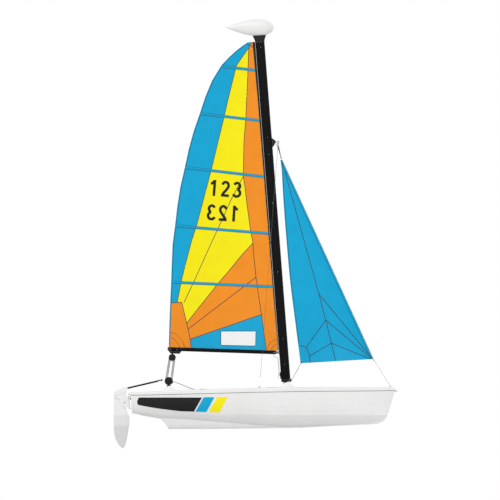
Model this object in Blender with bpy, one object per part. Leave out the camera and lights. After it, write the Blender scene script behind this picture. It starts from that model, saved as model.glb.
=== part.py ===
"""A small beach catamaran under sail, afloat: hulls, beams, rotating rig, sails and kick-up rudders.

Metres, +X towards the bows, +Y to port, +Z up. The origin is at midships on the centre line, on the
water. Heights are given above the bottom of the skegs, and up() turns them into Z.
"""

import math

import bmesh
import bpy
from mathutils import Matrix, Vector

# Fits
GAP = 0.0003
PIN_GAP = 0.0005
DRAFT = 0.200

# Hulls and decks
HULL_SPACING = 1.86
HULL_BEAM = 0.30
TRANSOM_X = -1.917
TRANSOM_LEAN = 0.021
STEM_X = 1.907
SECTION_FULLNESS = 2.6
KEEL_WIDTH = 0.022
SKEG_THICKNESS = 0.030
SKEG_FOOT_X = -1.367
SKEG_FLAT = 0.528
SKEG_EDGE = 0.35
SKEG_TAPER = 0.3
DECK_LIP = 0.004
DECK_EDGE_RADIUS = 0.016

# Beams and what stands on them. A beam's rise is that of its middle above the deck
FRONT_BEAM_X = 0.333
FRONT_BEAM_RISE = 0.0164
FRONT_BEAM_RADIUS = 0.0375
REAR_BEAM_X = -1.364
REAR_BEAM_RISE = 0.0214
REAR_BEAM_RADIUS = 0.0325
BEAM_REACH = 0.060
BEAM_SIDES = 24
TRAMPOLINE_THICKNESS = 0.004
TRAMPOLINE_REAR_DROP = 0.035
TRAMPOLINE_FRONT_DROP = 0.047
STEP_THICKNESS = 0.006
STEP_HALF_LENGTH = 0.045
BALL_DROP = 0.004
BALL_RADIUS = 0.012
TRACK_LENGTH = 1.10
TRACK_WIDTH = 0.024
TRACK_HEIGHT = 0.007
CAR_LENGTH = 0.056
CAR_WIDTH = 0.090
CAR_HEIGHT = 0.014

# Mast, in its own frame: up along the mast, forward across it
MAST_FOOT_RISE = 0.0225
MAST_LENGTH = 4.930
MAST_RAKE = math.radians(4.40)
MAST_CHORD = 0.134
MAST_WIDTH = 0.076
GROOVE_WIDTH = 0.010
GROOVE_DEPTH = 0.012
FOOT_PLUG_LENGTH = 0.030
CAP_LENGTH = 0.095
CAP_CHORD = 0.196
HOUND_UP = 3.475
FLOAT_LENGTH = 0.711
FLOAT_WIDTH = 0.150
FLOAT_FULLNESS = 0.175
FLOAT_TAIL = 0.5035
FLOAT_SEAT = 0.0096

# Boom, in the frame of its hinge: forward, port and up along the mast
GOOSENECK_UP = 0.432
LUFF_OFFSET = 0.018
GOOSENECK_PIN = 0.005
GOOSENECK_LUG = 0.010
LUG_THICKNESS = 0.007
TONGUE_THICKNESS = 0.016
BOOM_START = 0.016
BOOM_LENGTH = 1.585
BOOM_DEPTH = 0.054
BOOM_WIDTH = 0.044
BOOM_RISE = math.radians(6.28)

# Sails
SAIL_THICKNESS = 0.003
LUFF_GAP = 0.0025
MAIN_CAMBER = 0.060
JIB_CAMBER = 0.065
BATTEN_WIDTH = 0.032
BATTEN_THICKNESS = 0.004
BATTEN_SEAT = 0.0005
BATTEN_END_INSET = 0.10
SAIL_COLUMNS = 14
JIB_COLUMNS = 12

# Standing rigging
WIRE_RADIUS = 0.0020
STAY_RADIUS = 0.0025
RING_RADIUS = 0.016
RING_WIRE = 0.004
TACK_SHACKLE_RADIUS = 0.008
JIB_HEAD = (0.262, 3.925)
JIB_TACK = (1.603, 1.001)
BRIDLE_BOW_X = 1.842
SHROUD_X = -0.050
SHROUD_INSET = 0.022

# Blocks and the mainsheet's tail. The cleat's arm is drawn from the middle of the lower block
BLOCK_SIDES = 24
BLOCK_SHEAVE_GAP = 0.019
LOWER_BLOCK_RISE = 0.0605
LOWER_BLOCK_RADIUS = 0.060
CLEAT_ARM = [(0.0, -0.0516), (0.030, -0.0506), (0.066, -0.0206), (0.070, -0.0066), (0.052, -0.0026),
             (0.0, -0.0326)]
CLEAT_ARM_HALF = 0.0137
UPPER_BLOCK_RADIUS = 0.052
ROPE_DIAMETER = 0.008
COIL_X = -0.860
COIL_Y = 0.0
COIL_DIAMETER = 0.090
COIL_ROWS = 4
COIL_LAYERS = 3

# Rudders, in the frame of the kick-up bolt: forward, port, up
BOLT_X = TRANSOM_X - 0.087
BOLT_HEIGHT = 0.383
STEER_AHEAD = 0.066
STEER_TILT = math.radians(4.40)
STEER_PIN = 0.005
BARREL_RADIUS = 0.010
GUDGEON_HALF_SPAN = 0.083
GUDGEON_THICKNESS = 0.010
BLADE_THICKNESS = 0.020
BLADE_SLOT = 0.022
CASTING_WIDTH = 0.042
HEAD_SLOT = 0.030
HEAD_WIDTH = 0.046
SKIRT_WIDTH = 0.038
BOLT_RADIUS = 0.005
BLADE_SWEEP = 0.1915
TILLER_RADIUS = 0.0125
TILLER_ROOT = (0.040, 0.2065)
TILLER_END = (0.539, 0.323)
TILLER_TONGUE = 0.060
SPIGOT_RADIUS = 0.007
SPIGOT_LENGTH = 0.026
CROSSBAR_RADIUS = 0.0125
CROSSBAR_EYE = 0.012
EYE_THICKNESS = 0.006
EXTENSION_RADIUS = 0.010
EXTENSION_LENGTH = 0.84
EXTENSION_BEHIND = 0.042

# Lines of the hull, each a few (x, height) points along it
SHEER = [(TRANSOM_X, 0.490), (-1.70, 0.4935), (-1.20, 0.506), (-0.62, 0.520), (-0.04, 0.535), (0.97, 0.549),
         (1.55, 0.553), (1.907, 0.559)]
KEEL = [(TRANSOM_X + TRANSOM_LEAN, 0.228), (-1.519, 0.152), (-1.20, 0.143), (-0.91, 0.117),
        (-0.33, 0.070), (0.0, 0.043), (0.29, 0.023), (0.535, 0.018), (0.825, 0.033), (1.36, 0.059),
        (1.533, 0.066)]
STEM = [(1.660, 0.075), (1.735, 0.108), (1.784, 0.158), (1.817, 0.237)]
STEM_TOPS = [1.735, 1.815, 1.875, 1.907]
HALF_BREADTH = [(TRANSOM_X, 0.112), (-1.55, 0.128), (-0.90, 0.146), (-0.10, 0.150), (0.55, 0.146),
                (1.10, 0.122), (1.45, 0.091), (1.70, 0.056), (1.85, 0.028), (1.907, 0.012)]
DECK_TOP = [(TRANSOM_X, 0.534), (-1.70, 0.538), (-1.48, 0.551), (-1.23, 0.562), (-0.77, 0.577),
            (-0.19, 0.593), (0.19, 0.604), (0.51, 0.606), (1.79, 0.606), (1.907, 0.594)]
LOWER_X = [TRANSOM_X + TRANSOM_LEAN, -1.70, -1.519, -1.30, -1.05, -0.77, -0.45, -0.12, 0.22, 0.535, 0.825,
           1.09, 1.33, 1.533]

# Rounded ends of the deck: aft of the transom (distance, share of the breadth, low, high), and ahead of
# the stem (distance, half breadth, low, high)
STERN_RINGS = [(0.033, 0.90, 0.503, 0.512), (0.014, 0.97, 0.496, 0.531)]
BOW_RINGS = [(0.006, 0.0150, 0.547, 0.591), (0.026, 0.0125, 0.541, 0.573), (0.042, 0.0070, 0.536, 0.546)]

# Mounds of the deck over the beams, (x, height) from the middle of the beam
REAR_SADDLE = [(-0.107, -0.030), (-0.045, 0.014), (-0.010, 0.041), (0.004, 0.044), (0.034, 0.039),
               (0.066, 0.012), (0.104, -0.016)]
FRONT_SADDLE = [(-0.100, -0.019), (-0.055, 0.008), (-0.030, 0.040), (0.008, 0.052), (0.045, 0.046),
                (0.085, 0.014), (0.143, -0.017)]
SADDLE_INSET = 0.024

# Leech of the mainsail and of the jib, (x, height) from the foot up. The main's is drawn for a boom of
# LEECH_BOOM and goes with the boom's length
LEECH_BOOM = 1.585
MAIN_LEECH = [(-1.363, 1.194), (-1.352, 1.60), (-1.329, 2.123), (-1.304, 2.734), (-1.272, 2.945),
              (-1.215, 3.40), (-1.130, 3.791), (-1.042, 4.18), (-0.948, 4.47), (-0.880, 4.66),
              (-0.801, 4.903), (-0.700, 5.11), (-0.605, 5.258), (-0.450, 5.416), (-0.330, 5.520),
              (-0.224, 5.594)]
LUFF_HEIGHTS = [1.128, 2.058, 2.826, 3.646, 4.459, 5.186, 5.600]
LEECH_HEIGHTS = [1.194, 2.123, 2.945, 3.791, 4.577, 5.261, 5.594]
ROWS_BETWEEN = 3
JIB_LEECH = [(0.262, 3.925), (0.295, 3.312), (0.339, 2.734), (0.391, 2.155), (0.463, 1.576), (0.545, 0.938)]


def up(height):
    return height - DRAFT


def side_sign(side):
    return 1.0 if side == "port" else -1.0


def hull_y(side):
    return side_sign(side) * HULL_SPACING / 2


def curve_at(points, x):
    """Height at x of a smooth line through the points, which run from low x to high x."""
    if x <= points[0][0]:
        return points[0][1]
    if x >= points[-1][0]:
        return points[-1][1]
    i = max(k for k in range(len(points) - 1) if points[k][0] <= x)
    (x1, y1), (x2, y2) = points[i], points[i + 1]
    slope = (y2 - y1) / (x2 - x1)
    before = points[i - 1] if i > 0 else None
    after = points[i + 2] if i + 2 < len(points) else None
    m1 = slope if before is None else (y2 - before[1]) / (x2 - before[0])
    m2 = slope if after is None else (after[1] - y1) / (after[0] - x1)
    t = (x - x1) / (x2 - x1)
    span = x2 - x1
    return ((2 * t**3 - 3 * t**2 + 1) * y1 + (t**3 - 2 * t**2 + t) * span * m1
            + (3 * t**2 - 2 * t**3) * y2 + (t**3 - t**2) * span * m2)


# Heights that follow from the lines and sizes above, the beams' to the millimetre
FRONT_BEAM_HEIGHT = round(curve_at(DECK_TOP, FRONT_BEAM_X) + FRONT_BEAM_RISE, 3)
REAR_BEAM_HEIGHT = round(curve_at(DECK_TOP, REAR_BEAM_X) + REAR_BEAM_RISE, 3)
TRAMPOLINE_FRONT_HEIGHT = FRONT_BEAM_HEIGHT - TRAMPOLINE_FRONT_DROP
TRAMPOLINE_REAR_HEIGHT = REAR_BEAM_HEIGHT - TRAMPOLINE_REAR_DROP
MAST_FOOT_HEIGHT = FRONT_BEAM_HEIGHT + FRONT_BEAM_RADIUS + MAST_FOOT_RISE
MAST_TOP = MAST_LENGTH + CAP_LENGTH
FLOAT_TIP_X = FRONT_BEAM_X - MAST_TOP * math.sin(MAST_RAKE) - FLOAT_TAIL
FLOAT_BOTTOM = MAST_FOOT_HEIGHT + MAST_TOP * math.cos(MAST_RAKE) - FLOAT_SEAT
FLOAT_HEIGHT = FLOAT_BOTTOM + FLOAT_LENGTH * FLOAT_FULLNESS


def clear_scene():
    for obj in list(bpy.data.objects):
        bpy.data.objects.remove(obj, do_unlink=True)


def material(name, color, roughness=0.4, metallic=0.0):
    found = bpy.data.materials.get(name)
    if found:
        return found
    made = bpy.data.materials.new(name)
    made.use_nodes = True
    shader = made.node_tree.nodes["Principled BSDF"]
    shader.inputs["Base Color"].default_value = (*color, 1.0)
    shader.inputs["Roughness"].default_value = roughness
    shader.inputs["Metallic"].default_value = metallic
    made.diffuse_color = (*color, 1.0)
    return made


WHITE = (0.86, 0.86, 0.85)
BLACK = (0.012, 0.012, 0.013)
BLUE = (0.0, 0.42, 0.70)
ORANGE = (0.93, 0.29, 0.02)
STEEL = (0.62, 0.63, 0.64)


def pivot(name, origin, rotation=Matrix.Identity(4)):
    """An empty on a joint's axis. Its matrix is kept beside it, for meshes drawn in other frames."""
    made = bpy.data.objects.new(name, None)
    made.empty_display_size = 0.1
    bpy.context.scene.collection.objects.link(made)
    matrix = Matrix.Translation(Vector(origin)) @ rotation
    made.matrix_world = matrix
    return made, matrix


class Shape:
    """A closed mesh under construction, in the frame it is drawn in."""

    def __init__(self):
        self.mesh = bmesh.new()

    def loft(self, rings):
        """Skin rings of equally many points, and cap both ends."""
        rows = [[self.mesh.verts.new(p) for p in ring] for ring in rings]
        count = len(rows[0])
        for lower, upper in zip(rows, rows[1:]):
            for i in range(count):
                j = (i + 1) % count
                self.mesh.faces.new((lower[i], lower[j], upper[j], upper[i]))
        self.mesh.faces.new(rows[0][::-1])
        self.mesh.faces.new(rows[-1])
        return self

    def prism(self, outline, y0, y1):
        """An outline of (x, z) points carried from y0 to y1."""
        return self.loft([[(x, y0, z) for x, z in outline], [(x, y1, z) for x, z in outline]])

    def plate(self, outline, z0, z1):
        """An outline of (x, y) points carried from z0 to z1."""
        return self.loft([[(x, y, z0) for x, y in outline], [(x, y, z1) for x, y in outline]])

    def tube(self, path, radius, sides=12):
        """A round bar along the path's points, with flat ends."""
        points = [Vector(p) for p in path]
        rings = []
        normal = None
        for i, point in enumerate(points):
            ahead = points[min(i + 1, len(points) - 1)]
            behind = points[max(i - 1, 0)]
            along = (ahead - behind).normalized()
            if normal is None:
                normal = along.orthogonal().normalized()
            normal = (normal - along * normal.dot(along)).normalized()
            across = along.cross(normal)
            rings.append([point + radius * (math.cos(a) * normal + math.sin(a) * across)
                          for a in (2 * math.pi * k / sides for k in range(sides))])
        return self.loft(rings)

    def turned(self, profile, centre, axis, sides=24):
        """A body turned from (distance along the axis, radius) points."""
        along = Vector(axis).normalized()
        first = along.orthogonal().normalized()
        second = along.cross(first)
        rings = []
        for distance, radius in profile:
            middle = Vector(centre) + along * distance
            rings.append([middle + radius * (math.cos(a) * first + math.sin(a) * second)
                          for a in (2 * math.pi * k / sides for k in range(sides))])
        return self.loft(rings)

    def ring(self, centre, axis, radius, wire, sides=20, around=8):
        """A closed round link."""
        along = Vector(axis).normalized()
        first = along.orthogonal().normalized()
        second = along.cross(first)
        rows = []
        for i in range(sides):
            a = 2 * math.pi * i / sides
            out = math.cos(a) * first + math.sin(a) * second
            middle = Vector(centre) + radius * out
            rows.append([self.mesh.verts.new(middle + wire * (math.cos(b) * out + math.sin(b) * along))
                         for b in (2 * math.pi * k / around for k in range(around))])
        for i in range(sides):
            for k in range(around):
                n, m = (i + 1) % sides, (k + 1) % around
                self.mesh.faces.new((rows[i][k], rows[n][k], rows[n][m], rows[i][m]))
        return self

    def grid_shell(self, front, back):
        """A thin closed sheet between two grids of points with the same rows and columns."""
        faces = []
        for grid in (front, back):
            faces.append([[self.mesh.verts.new(p) for p in row] for row in grid])
        a, b = faces
        rows, columns = len(a), len(a[0])
        for i in range(rows - 1):
            for j in range(columns - 1):
                self.mesh.faces.new((a[i][j], a[i][j + 1], a[i + 1][j + 1], a[i + 1][j]))
                self.mesh.faces.new((b[i][j], b[i + 1][j], b[i + 1][j + 1], b[i][j + 1]))
        rim = [(0, j) for j in range(columns)] + [(i, columns - 1) for i in range(1, rows)]
        rim += [(rows - 1, j) for j in range(columns - 2, -1, -1)] + [(i, 0) for i in range(rows - 2, 0, -1)]
        for (i, j), (k, m) in zip(rim, rim[1:] + rim[:1]):
            self.mesh.faces.new((a[i][j], b[i][j], b[k][m], a[k][m]))
        return self

    def finish(self, name, look, parent=None, frame=Matrix.Identity(4), smooth=True):
        """Make the object. frame is where the mesh was drawn; parent is a pivot to hang it on."""
        bmesh.ops.recalc_face_normals(self.mesh, faces=self.mesh.faces)
        data = bpy.data.meshes.new(name)
        self.mesh.to_mesh(data)
        self.mesh.free()
        obj = bpy.data.objects.new(name, data)
        bpy.context.scene.collection.objects.link(obj)
        if look is not None:
            data.materials.append(look)
        matrix = frame
        if parent is not None:
            empty, at = parent
            obj.parent = empty
            matrix = at.inverted() @ frame
        data.transform(matrix)
        if smooth:
            data.shade_smooth()
            data.set_sharp_from_angle(angle=math.radians(35))
        return obj


def combine(obj, other, operation):
    """Join or cut with a hidden helper, which shares the object's parent."""
    other.hide_render = True
    other.display_type = "WIRE"
    other.parent = obj.parent
    made = obj.modifiers.new(other.name, "BOOLEAN")
    made.operation = operation
    made.object = other
    made.solver = "EXACT"


def own(name, color, roughness=0.4, metallic=0.0):
    return material(name + "_look", color, roughness, metallic)


# Hulls

def half_breadth(x):
    """Half the hull's beam at its gunwale."""
    widest = max(half for _, half in HALF_BREADTH)
    return curve_at(HALF_BREADTH, x) * HULL_BEAM / (2 * widest)


def hull_section(top_x, low_x, low, y_middle):
    """One ring of the hull: port gunwale, round the keel, starboard gunwale."""
    half = half_breadth(top_x)
    high = curve_at(SHEER, top_x)
    shares = (0.0, 0.18, 0.36, 0.52, 0.66, 0.78, 0.87, 0.94, 0.985, 1.0)
    side = []
    for t in shares:
        y = half * (1 - t**SECTION_FULLNESS) ** 0.75
        y = max(y, min(half, KEEL_WIDTH / 2))
        side.append((top_x + (low_x - top_x) * t, y, up(high + (low - high) * t)))
    ring = [(x, y_middle + y, z) for x, y, z in side]
    ring += [(x, y_middle - y, z) for x, y, z in reversed(side)]
    return ring


def hull_rings(y_middle):
    rings = []
    for x in LOWER_X:
        top = TRANSOM_X if x == LOWER_X[0] else x + max(0.0, (x - 1.0) * 0.04)
        rings.append(hull_section(top, x, curve_at(KEEL, x), y_middle))
    for top, (x, low) in zip(STEM_TOPS, STEM):
        rings.append(hull_section(top, x, low, y_middle))
    return rings


def skeg(y_middle):
    """The fin along the keel, thick at its root and thinner at its foot."""
    flat_end = SKEG_FOOT_X + SKEG_FLAT
    foot = [(SKEG_FOOT_X, 0.0), (flat_end, 0.0), (0.45, 0.016)]
    root = [(-1.519, 0.175), (flat_end - 0.1, 0.155), (0.45, 0.045)]
    rings = []
    for level in (0.0, 0.06, 0.5, 1.0):
        half = SKEG_THICKNESS / 2 * (SKEG_EDGE if level == 0.0 else 1 - SKEG_TAPER * (1 - level))
        row = []
        for (fx, fz), (rx, rz) in zip(foot, root):
            row.append((fx + (rx - fx) * level**1.4, fz + (rz - fz) * level))
        ring = [(x, y_middle + half, up(z)) for x, z in row]
        ring += [(x, y_middle - half, up(z)) for x, z in reversed(row)]
        rings.append(ring)
    return Shape().loft(rings)


def make_hull(side):
    y = hull_y(side)
    hull = Shape().loft(hull_rings(y)).finish("hull_" + side, own("hull_" + side, WHITE, 0.22))
    fin = skeg(y).finish("helper_skeg_" + side, None)
    combine(hull, fin, "UNION")


def deck_ring(x, y_middle, half, low, high):
    """One ring of the deck: flat underside, upright side with a round edge, crowned top."""
    radius = min(DECK_EDGE_RADIUS, (high - low) * 0.6, half * 0.6)
    edge = high - 0.004
    right = [(half, low), (half, edge - radius), (half - radius * 0.3, edge - radius * 0.3),
             (half - radius, edge), (half * 0.45, high - 0.001)]
    ring = [(x, y_middle + y, up(z)) for y, z in right]
    ring.append((x, y_middle, up(high)))
    ring += [(x, y_middle - y, up(z)) for y, z in reversed(right)]
    return ring


def deck_half(x):
    return half_breadth(x) + DECK_LIP


def deck_stations():
    """X of each deck ring over the hull."""
    return [TRANSOM_X] + [x + max(0.0, (x - 1.0) * 0.04) for x in LOWER_X[1:]] + STEM_TOPS


def deck_surface(x, off_middle):
    """Height of the deck's faceted top at this distance from the hull's middle."""
    stations = deck_stations()
    i = max(k for k in range(len(stations) - 1) if stations[k] <= x)
    heights = []
    for station in stations[i:i + 2]:
        ring = deck_ring(station, 0.0, deck_half(station), curve_at(SHEER, station) + GAP,
                         curve_at(DECK_TOP, station))
        top = sorted((y, z) for _, y, z in ring[2:6])
        j = max([k for k in range(len(top) - 1) if top[k][0] <= off_middle] or [0])
        (y1, z1), (y2, z2) = top[j], top[j + 1]
        heights.append(z1 + (z2 - z1) * (off_middle - y1) / (y2 - y1))
    share = (x - stations[i]) / (stations[i + 1] - stations[i])
    return heights[0] + (heights[1] - heights[0]) * share


def saddle_profile(side_points, y_middle, name, reach):
    """A mound across the deck, highest along its middle and sloping off towards both sides."""
    floor = min(z for x, z in side_points) - 0.012
    rings = []
    for y, share in ((-reach, 0.30), (-reach * 0.80, 1.0), (reach * 0.80, 1.0), (reach, 0.30)):
        ring = [(x, y_middle + y, up(floor + (z - floor) * share)) for x, z in side_points]
        ring.append((side_points[-1][0], y_middle + y, up(floor - 0.004)))
        ring.append((side_points[0][0], y_middle + y, up(floor - 0.004)))
        rings.append(ring)
    return Shape().loft(rings).finish(name, None)


def beam_bore(x, height, radius, side, name):
    inboard = hull_y(side) - side_sign(side) * HULL_BEAM
    end = hull_y(side) + side_sign(side) * (BEAM_REACH + GAP)
    path = [(x, inboard, up(height)), (x, end, up(height))]
    return Shape().tube(path, radius + GAP, BEAM_SIDES).finish(name, None)


def make_deck(side):
    y = hull_y(side)
    rings = [deck_ring(TRANSOM_X - behind, y, deck_half(TRANSOM_X) * share, low, high)
             for behind, share, low, high in STERN_RINGS]
    for x in deck_stations():
        rings.append(deck_ring(x, y, deck_half(x), curve_at(SHEER, x) + GAP, curve_at(DECK_TOP, x)))
    rings += [deck_ring(STEM_X + ahead, y, half, low, high) for ahead, half, low, high in BOW_RINGS]
    deck = Shape().loft(rings).finish("deck_" + side, own("deck_" + side, WHITE, 0.30))
    rear = [(REAR_BEAM_X + x, REAR_BEAM_HEIGHT + rise) for x, rise in REAR_SADDLE]
    front = [(FRONT_BEAM_X + x, FRONT_BEAM_HEIGHT + rise) for x, rise in FRONT_SADDLE]
    reach = HULL_BEAM / 2 - SADDLE_INSET
    combine(deck, saddle_profile(rear, y, "helper_rear_saddle_" + side, reach), "UNION")
    combine(deck, saddle_profile(front, y, "helper_front_saddle_" + side, reach), "UNION")
    rear_bore = beam_bore(REAR_BEAM_X, REAR_BEAM_HEIGHT, REAR_BEAM_RADIUS, side, "helper_rear_bore_" + side)
    front_bore = beam_bore(FRONT_BEAM_X, FRONT_BEAM_HEIGHT, FRONT_BEAM_RADIUS, side,
                           "helper_front_bore_" + side)
    combine(deck, rear_bore, "DIFFERENCE")
    combine(deck, front_bore, "DIFFERENCE")


# Beams, trampoline and fittings

def make_beams():
    half = HULL_SPACING / 2 + BEAM_REACH
    front = [(FRONT_BEAM_X, -half, up(FRONT_BEAM_HEIGHT)), (FRONT_BEAM_X, half, up(FRONT_BEAM_HEIGHT))]
    rear = [(REAR_BEAM_X, -half, up(REAR_BEAM_HEIGHT)), (REAR_BEAM_X, half, up(REAR_BEAM_HEIGHT))]
    for name, path, radius in (("front_beam", front, FRONT_BEAM_RADIUS),
                               ("rear_beam", rear, REAR_BEAM_RADIUS)):
        Shape().tube(path, radius, BEAM_SIDES).finish(name, own(name, BLACK, 0.35, 0.6))


def make_trampoline():
    """A stretched slab between the beams, its sides along the inner edges of the decks."""
    rear = REAR_BEAM_X + REAR_BEAM_RADIUS + 0.001
    front = FRONT_BEAM_X - FRONT_BEAM_RADIUS - 0.001
    rows = 9
    top, bottom = [], []
    for i in range(rows):
        x = rear + (front - rear) * i / (rows - 1)
        height = TRAMPOLINE_REAR_HEIGHT + (TRAMPOLINE_FRONT_HEIGHT - TRAMPOLINE_REAR_HEIGHT) * i / (rows - 1)
        half = HULL_SPACING / 2 - deck_half(x) - 0.0008
        ys = [half * (2 * j / 6 - 1) for j in range(7)]
        top.append([(x, y, up(height)) for y in ys])
        bottom.append([(x, y, up(height - TRAMPOLINE_THICKNESS)) for y in ys])
    Shape().grid_shell(top, bottom).finish("trampoline", own("trampoline", BLACK, 0.8))


def make_mast_step():
    """A saddle on the front beam that carries the ball."""
    x = FRONT_BEAM_X
    top = FRONT_BEAM_HEIGHT + FRONT_BEAM_RADIUS
    ball = MAST_FOOT_HEIGHT - BALL_DROP
    outer = FRONT_BEAM_RADIUS + STEP_THICKNESS
    inner = FRONT_BEAM_RADIUS + GAP
    angles = [math.radians(a) for a in range(35, 146, 10)]
    outline = [(x + outer * math.cos(a), up(FRONT_BEAM_HEIGHT + outer * math.sin(a))) for a in angles]
    outline += [(x + inner * math.cos(a), up(FRONT_BEAM_HEIGHT + inner * math.sin(a)))
                for a in reversed(angles)]
    step = Shape().prism(outline, -STEP_HALF_LENGTH, STEP_HALF_LENGTH).finish(
        "mast_step", own("mast_step", BLACK, 0.4, 0.3))
    profile = [(up(top + 0.002), 0.016), (up(top + 0.010), 0.010), (up(ball - 0.006), BALL_RADIUS * 0.86)]
    profile += [(up(ball) + BALL_RADIUS * math.sin(a), BALL_RADIUS * math.cos(a))
                for a in (math.radians(d) for d in (0, 25, 50, 75))]
    post = Shape().turned(profile, (x, 0, 0), (0, 0, 1), 20).finish("helper_ball", None)
    combine(step, post, "UNION")


def make_track_and_car():
    base = REAR_BEAM_HEIGHT + REAR_BEAM_RADIUS + GAP
    x = REAR_BEAM_X
    half = TRACK_WIDTH / 2
    waist = half - 0.005
    outline = [(x - half, up(base)), (x + half, up(base)), (x + waist, up(base + 0.0025)),
               (x + half, up(base + TRACK_HEIGHT - 0.002)), (x + half, up(base + TRACK_HEIGHT)),
               (x - half, up(base + TRACK_HEIGHT)), (x - half, up(base + TRACK_HEIGHT - 0.002)),
               (x - waist, up(base + 0.0025))]
    Shape().prism(outline, -TRACK_LENGTH / 2, TRACK_LENGTH / 2).finish(
        "traveller_track", own("traveller_track", BLACK, 0.4, 0.5))
    low = base + TRACK_HEIGHT + GAP
    side = CAR_LENGTH / 2
    inner = half + 0.0006
    foot = up(base + 0.001)
    top = low + CAR_HEIGHT
    shoulder = up(top - 0.004)
    car = [(x - side, foot), (x - inner, foot), (x - inner, up(low)), (x + inner, up(low)), (x + inner, foot),
           (x + side, foot), (x + side, shoulder), (x + side - 0.006, up(top)), (x - side + 0.006, up(top)),
           (x - side, shoulder)]
    Shape().prism(car, -CAR_WIDTH / 2, CAR_WIDTH / 2).finish(
        "traveller_car", own("traveller_car", BLACK, 0.45))
    return top


def triple_block(radius):
    """Distances along the pin and radii of a block with three sheaves between four cheeks."""
    cheek = 0.0035
    groove = radius * 0.76
    profile = []
    start = -1.5 * BLOCK_SHEAVE_GAP
    for i in range(3):
        left = start + i * BLOCK_SHEAVE_GAP
        middle = left + BLOCK_SHEAVE_GAP / 2
        profile += [(left - cheek / 2, radius), (left + cheek / 2, radius), (left + cheek, radius * 0.90),
                    (middle, groove), (left + BLOCK_SHEAVE_GAP - cheek, radius * 0.90)]
    last = start + 3 * BLOCK_SHEAVE_GAP
    profile += [(last - cheek / 2, radius), (last + cheek / 2, radius)]
    return [(start - cheek, radius * 0.30), (start - cheek, radius * 0.92)] + profile + [
        (last + cheek, radius * 0.92), (last + cheek, radius * 0.30)]


def make_lower_block(car_top):
    """The lower block on its swivel, with the arm that carries the cam cleat."""
    middle = car_top + LOWER_BLOCK_RISE
    centre = (REAR_BEAM_X, 0, up(middle))
    block = Shape().turned(triple_block(LOWER_BLOCK_RADIUS), centre, (0, 1, 0), BLOCK_SIDES).finish(
        "sheet_block_lower", own("sheet_block_lower", BLACK, 0.4))
    foot = [(up(car_top + GAP), 0.015), (up(car_top + 0.012), 0.015), (up(car_top + 0.014), 0.009),
            (up(middle), 0.009)]
    post = Shape().turned(foot, (REAR_BEAM_X, 0, 0), (0, 0, 1), 16).finish("helper_swivel", None)
    arm_outline = [(centre[0] + x, centre[2] + z) for x, z in CLEAT_ARM]
    arm = Shape().prism(arm_outline, -CLEAT_ARM_HALF, CLEAT_ARM_HALF).finish("helper_cleat_arm", None)
    combine(block, arm, "UNION")
    combine(block, post, "UNION")


def chainplate_point(side):
    """Middle of the chainplate's foot, on the outer edge of the deck."""
    off = deck_half(SHROUD_X) - SHROUD_INSET
    seat = max(deck_surface(SHROUD_X + x, off - 0.002) for x in (-0.02, 0.02))
    return Vector((SHROUD_X, hull_y(side) + side_sign(side) * off, seat + GAP))


def hound_point():
    """Centre of the stay ring, ahead of the tang."""
    tip = MAST_MATRIX @ Vector((MAST_CHORD / 2 + 0.056, 0, HOUND_UP))
    return tip + Vector((0.012 + RING_RADIUS, 0, -0.010))


def make_rigging():
    ring = hound_point()
    head = Vector((JIB_HEAD[0], 0, up(JIB_HEAD[1])))
    tack = Vector((JIB_TACK[0], 0, up(JIB_TACK[1])))
    down = (tack - head).normalized()
    steel = own("stay_ring", STEEL, 0.3, 1.0)
    stay = Shape().ring(ring, (0, 1, 0), RING_RADIUS, RING_WIRE).finish("stay_ring", steel)
    lead = (head - ring).normalized()
    pendant = Shape().tube([ring + lead * RING_RADIUS, head], STAY_RADIUS, 10).finish("helper_pendant", None)
    shackle = Shape().tube([head - down * 0.012, head + down * 0.012], 0.007, 12).finish(
        "helper_head_shackle", None)
    combine(stay, pendant, "UNION")
    combine(stay, shackle, "UNION")
    Shape().tube([head + down * (0.012 + GAP), tack - down * (0.012 + GAP)], STAY_RADIUS, 10).finish(
        "forestay", own("forestay", STEEL, 0.3, 1.0))
    Shape().tube([tack - down * 0.012, tack + down * 0.014], TACK_SHACKLE_RADIUS, 12).finish(
        "tack_shackle", own("tack_shackle", STEEL, 0.3, 1.0))
    for side in ("port", "starboard"):
        sign = side_sign(side)
        foot = chainplate_point(side)
        top = ring + Vector((0, sign * (RING_WIRE + WIRE_RADIUS + GAP), -RING_RADIUS))
        along = (top - foot).normalized()
        plate_name = "chainplate_" + side
        outline = [(-0.020, 0.0), (0.020, 0.0), (0.012, 0.014), (0.006, 0.034), (-0.006, 0.034),
                   (-0.012, 0.014)]
        Shape().prism([(foot.x + x, foot.z + z) for x, z in outline], foot.y - 0.002,
                      foot.y + 0.002).finish(plate_name, own(plate_name, STEEL, 0.3, 1.0))
        start = foot + along * 0.040
        Shape().tube([start, top], WIRE_RADIUS, 8).finish("shroud_" + side,
                                                           own("shroud_" + side, STEEL, 0.35, 1.0))
        make_bridle(side, tack + down * 0.004, down)


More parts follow.
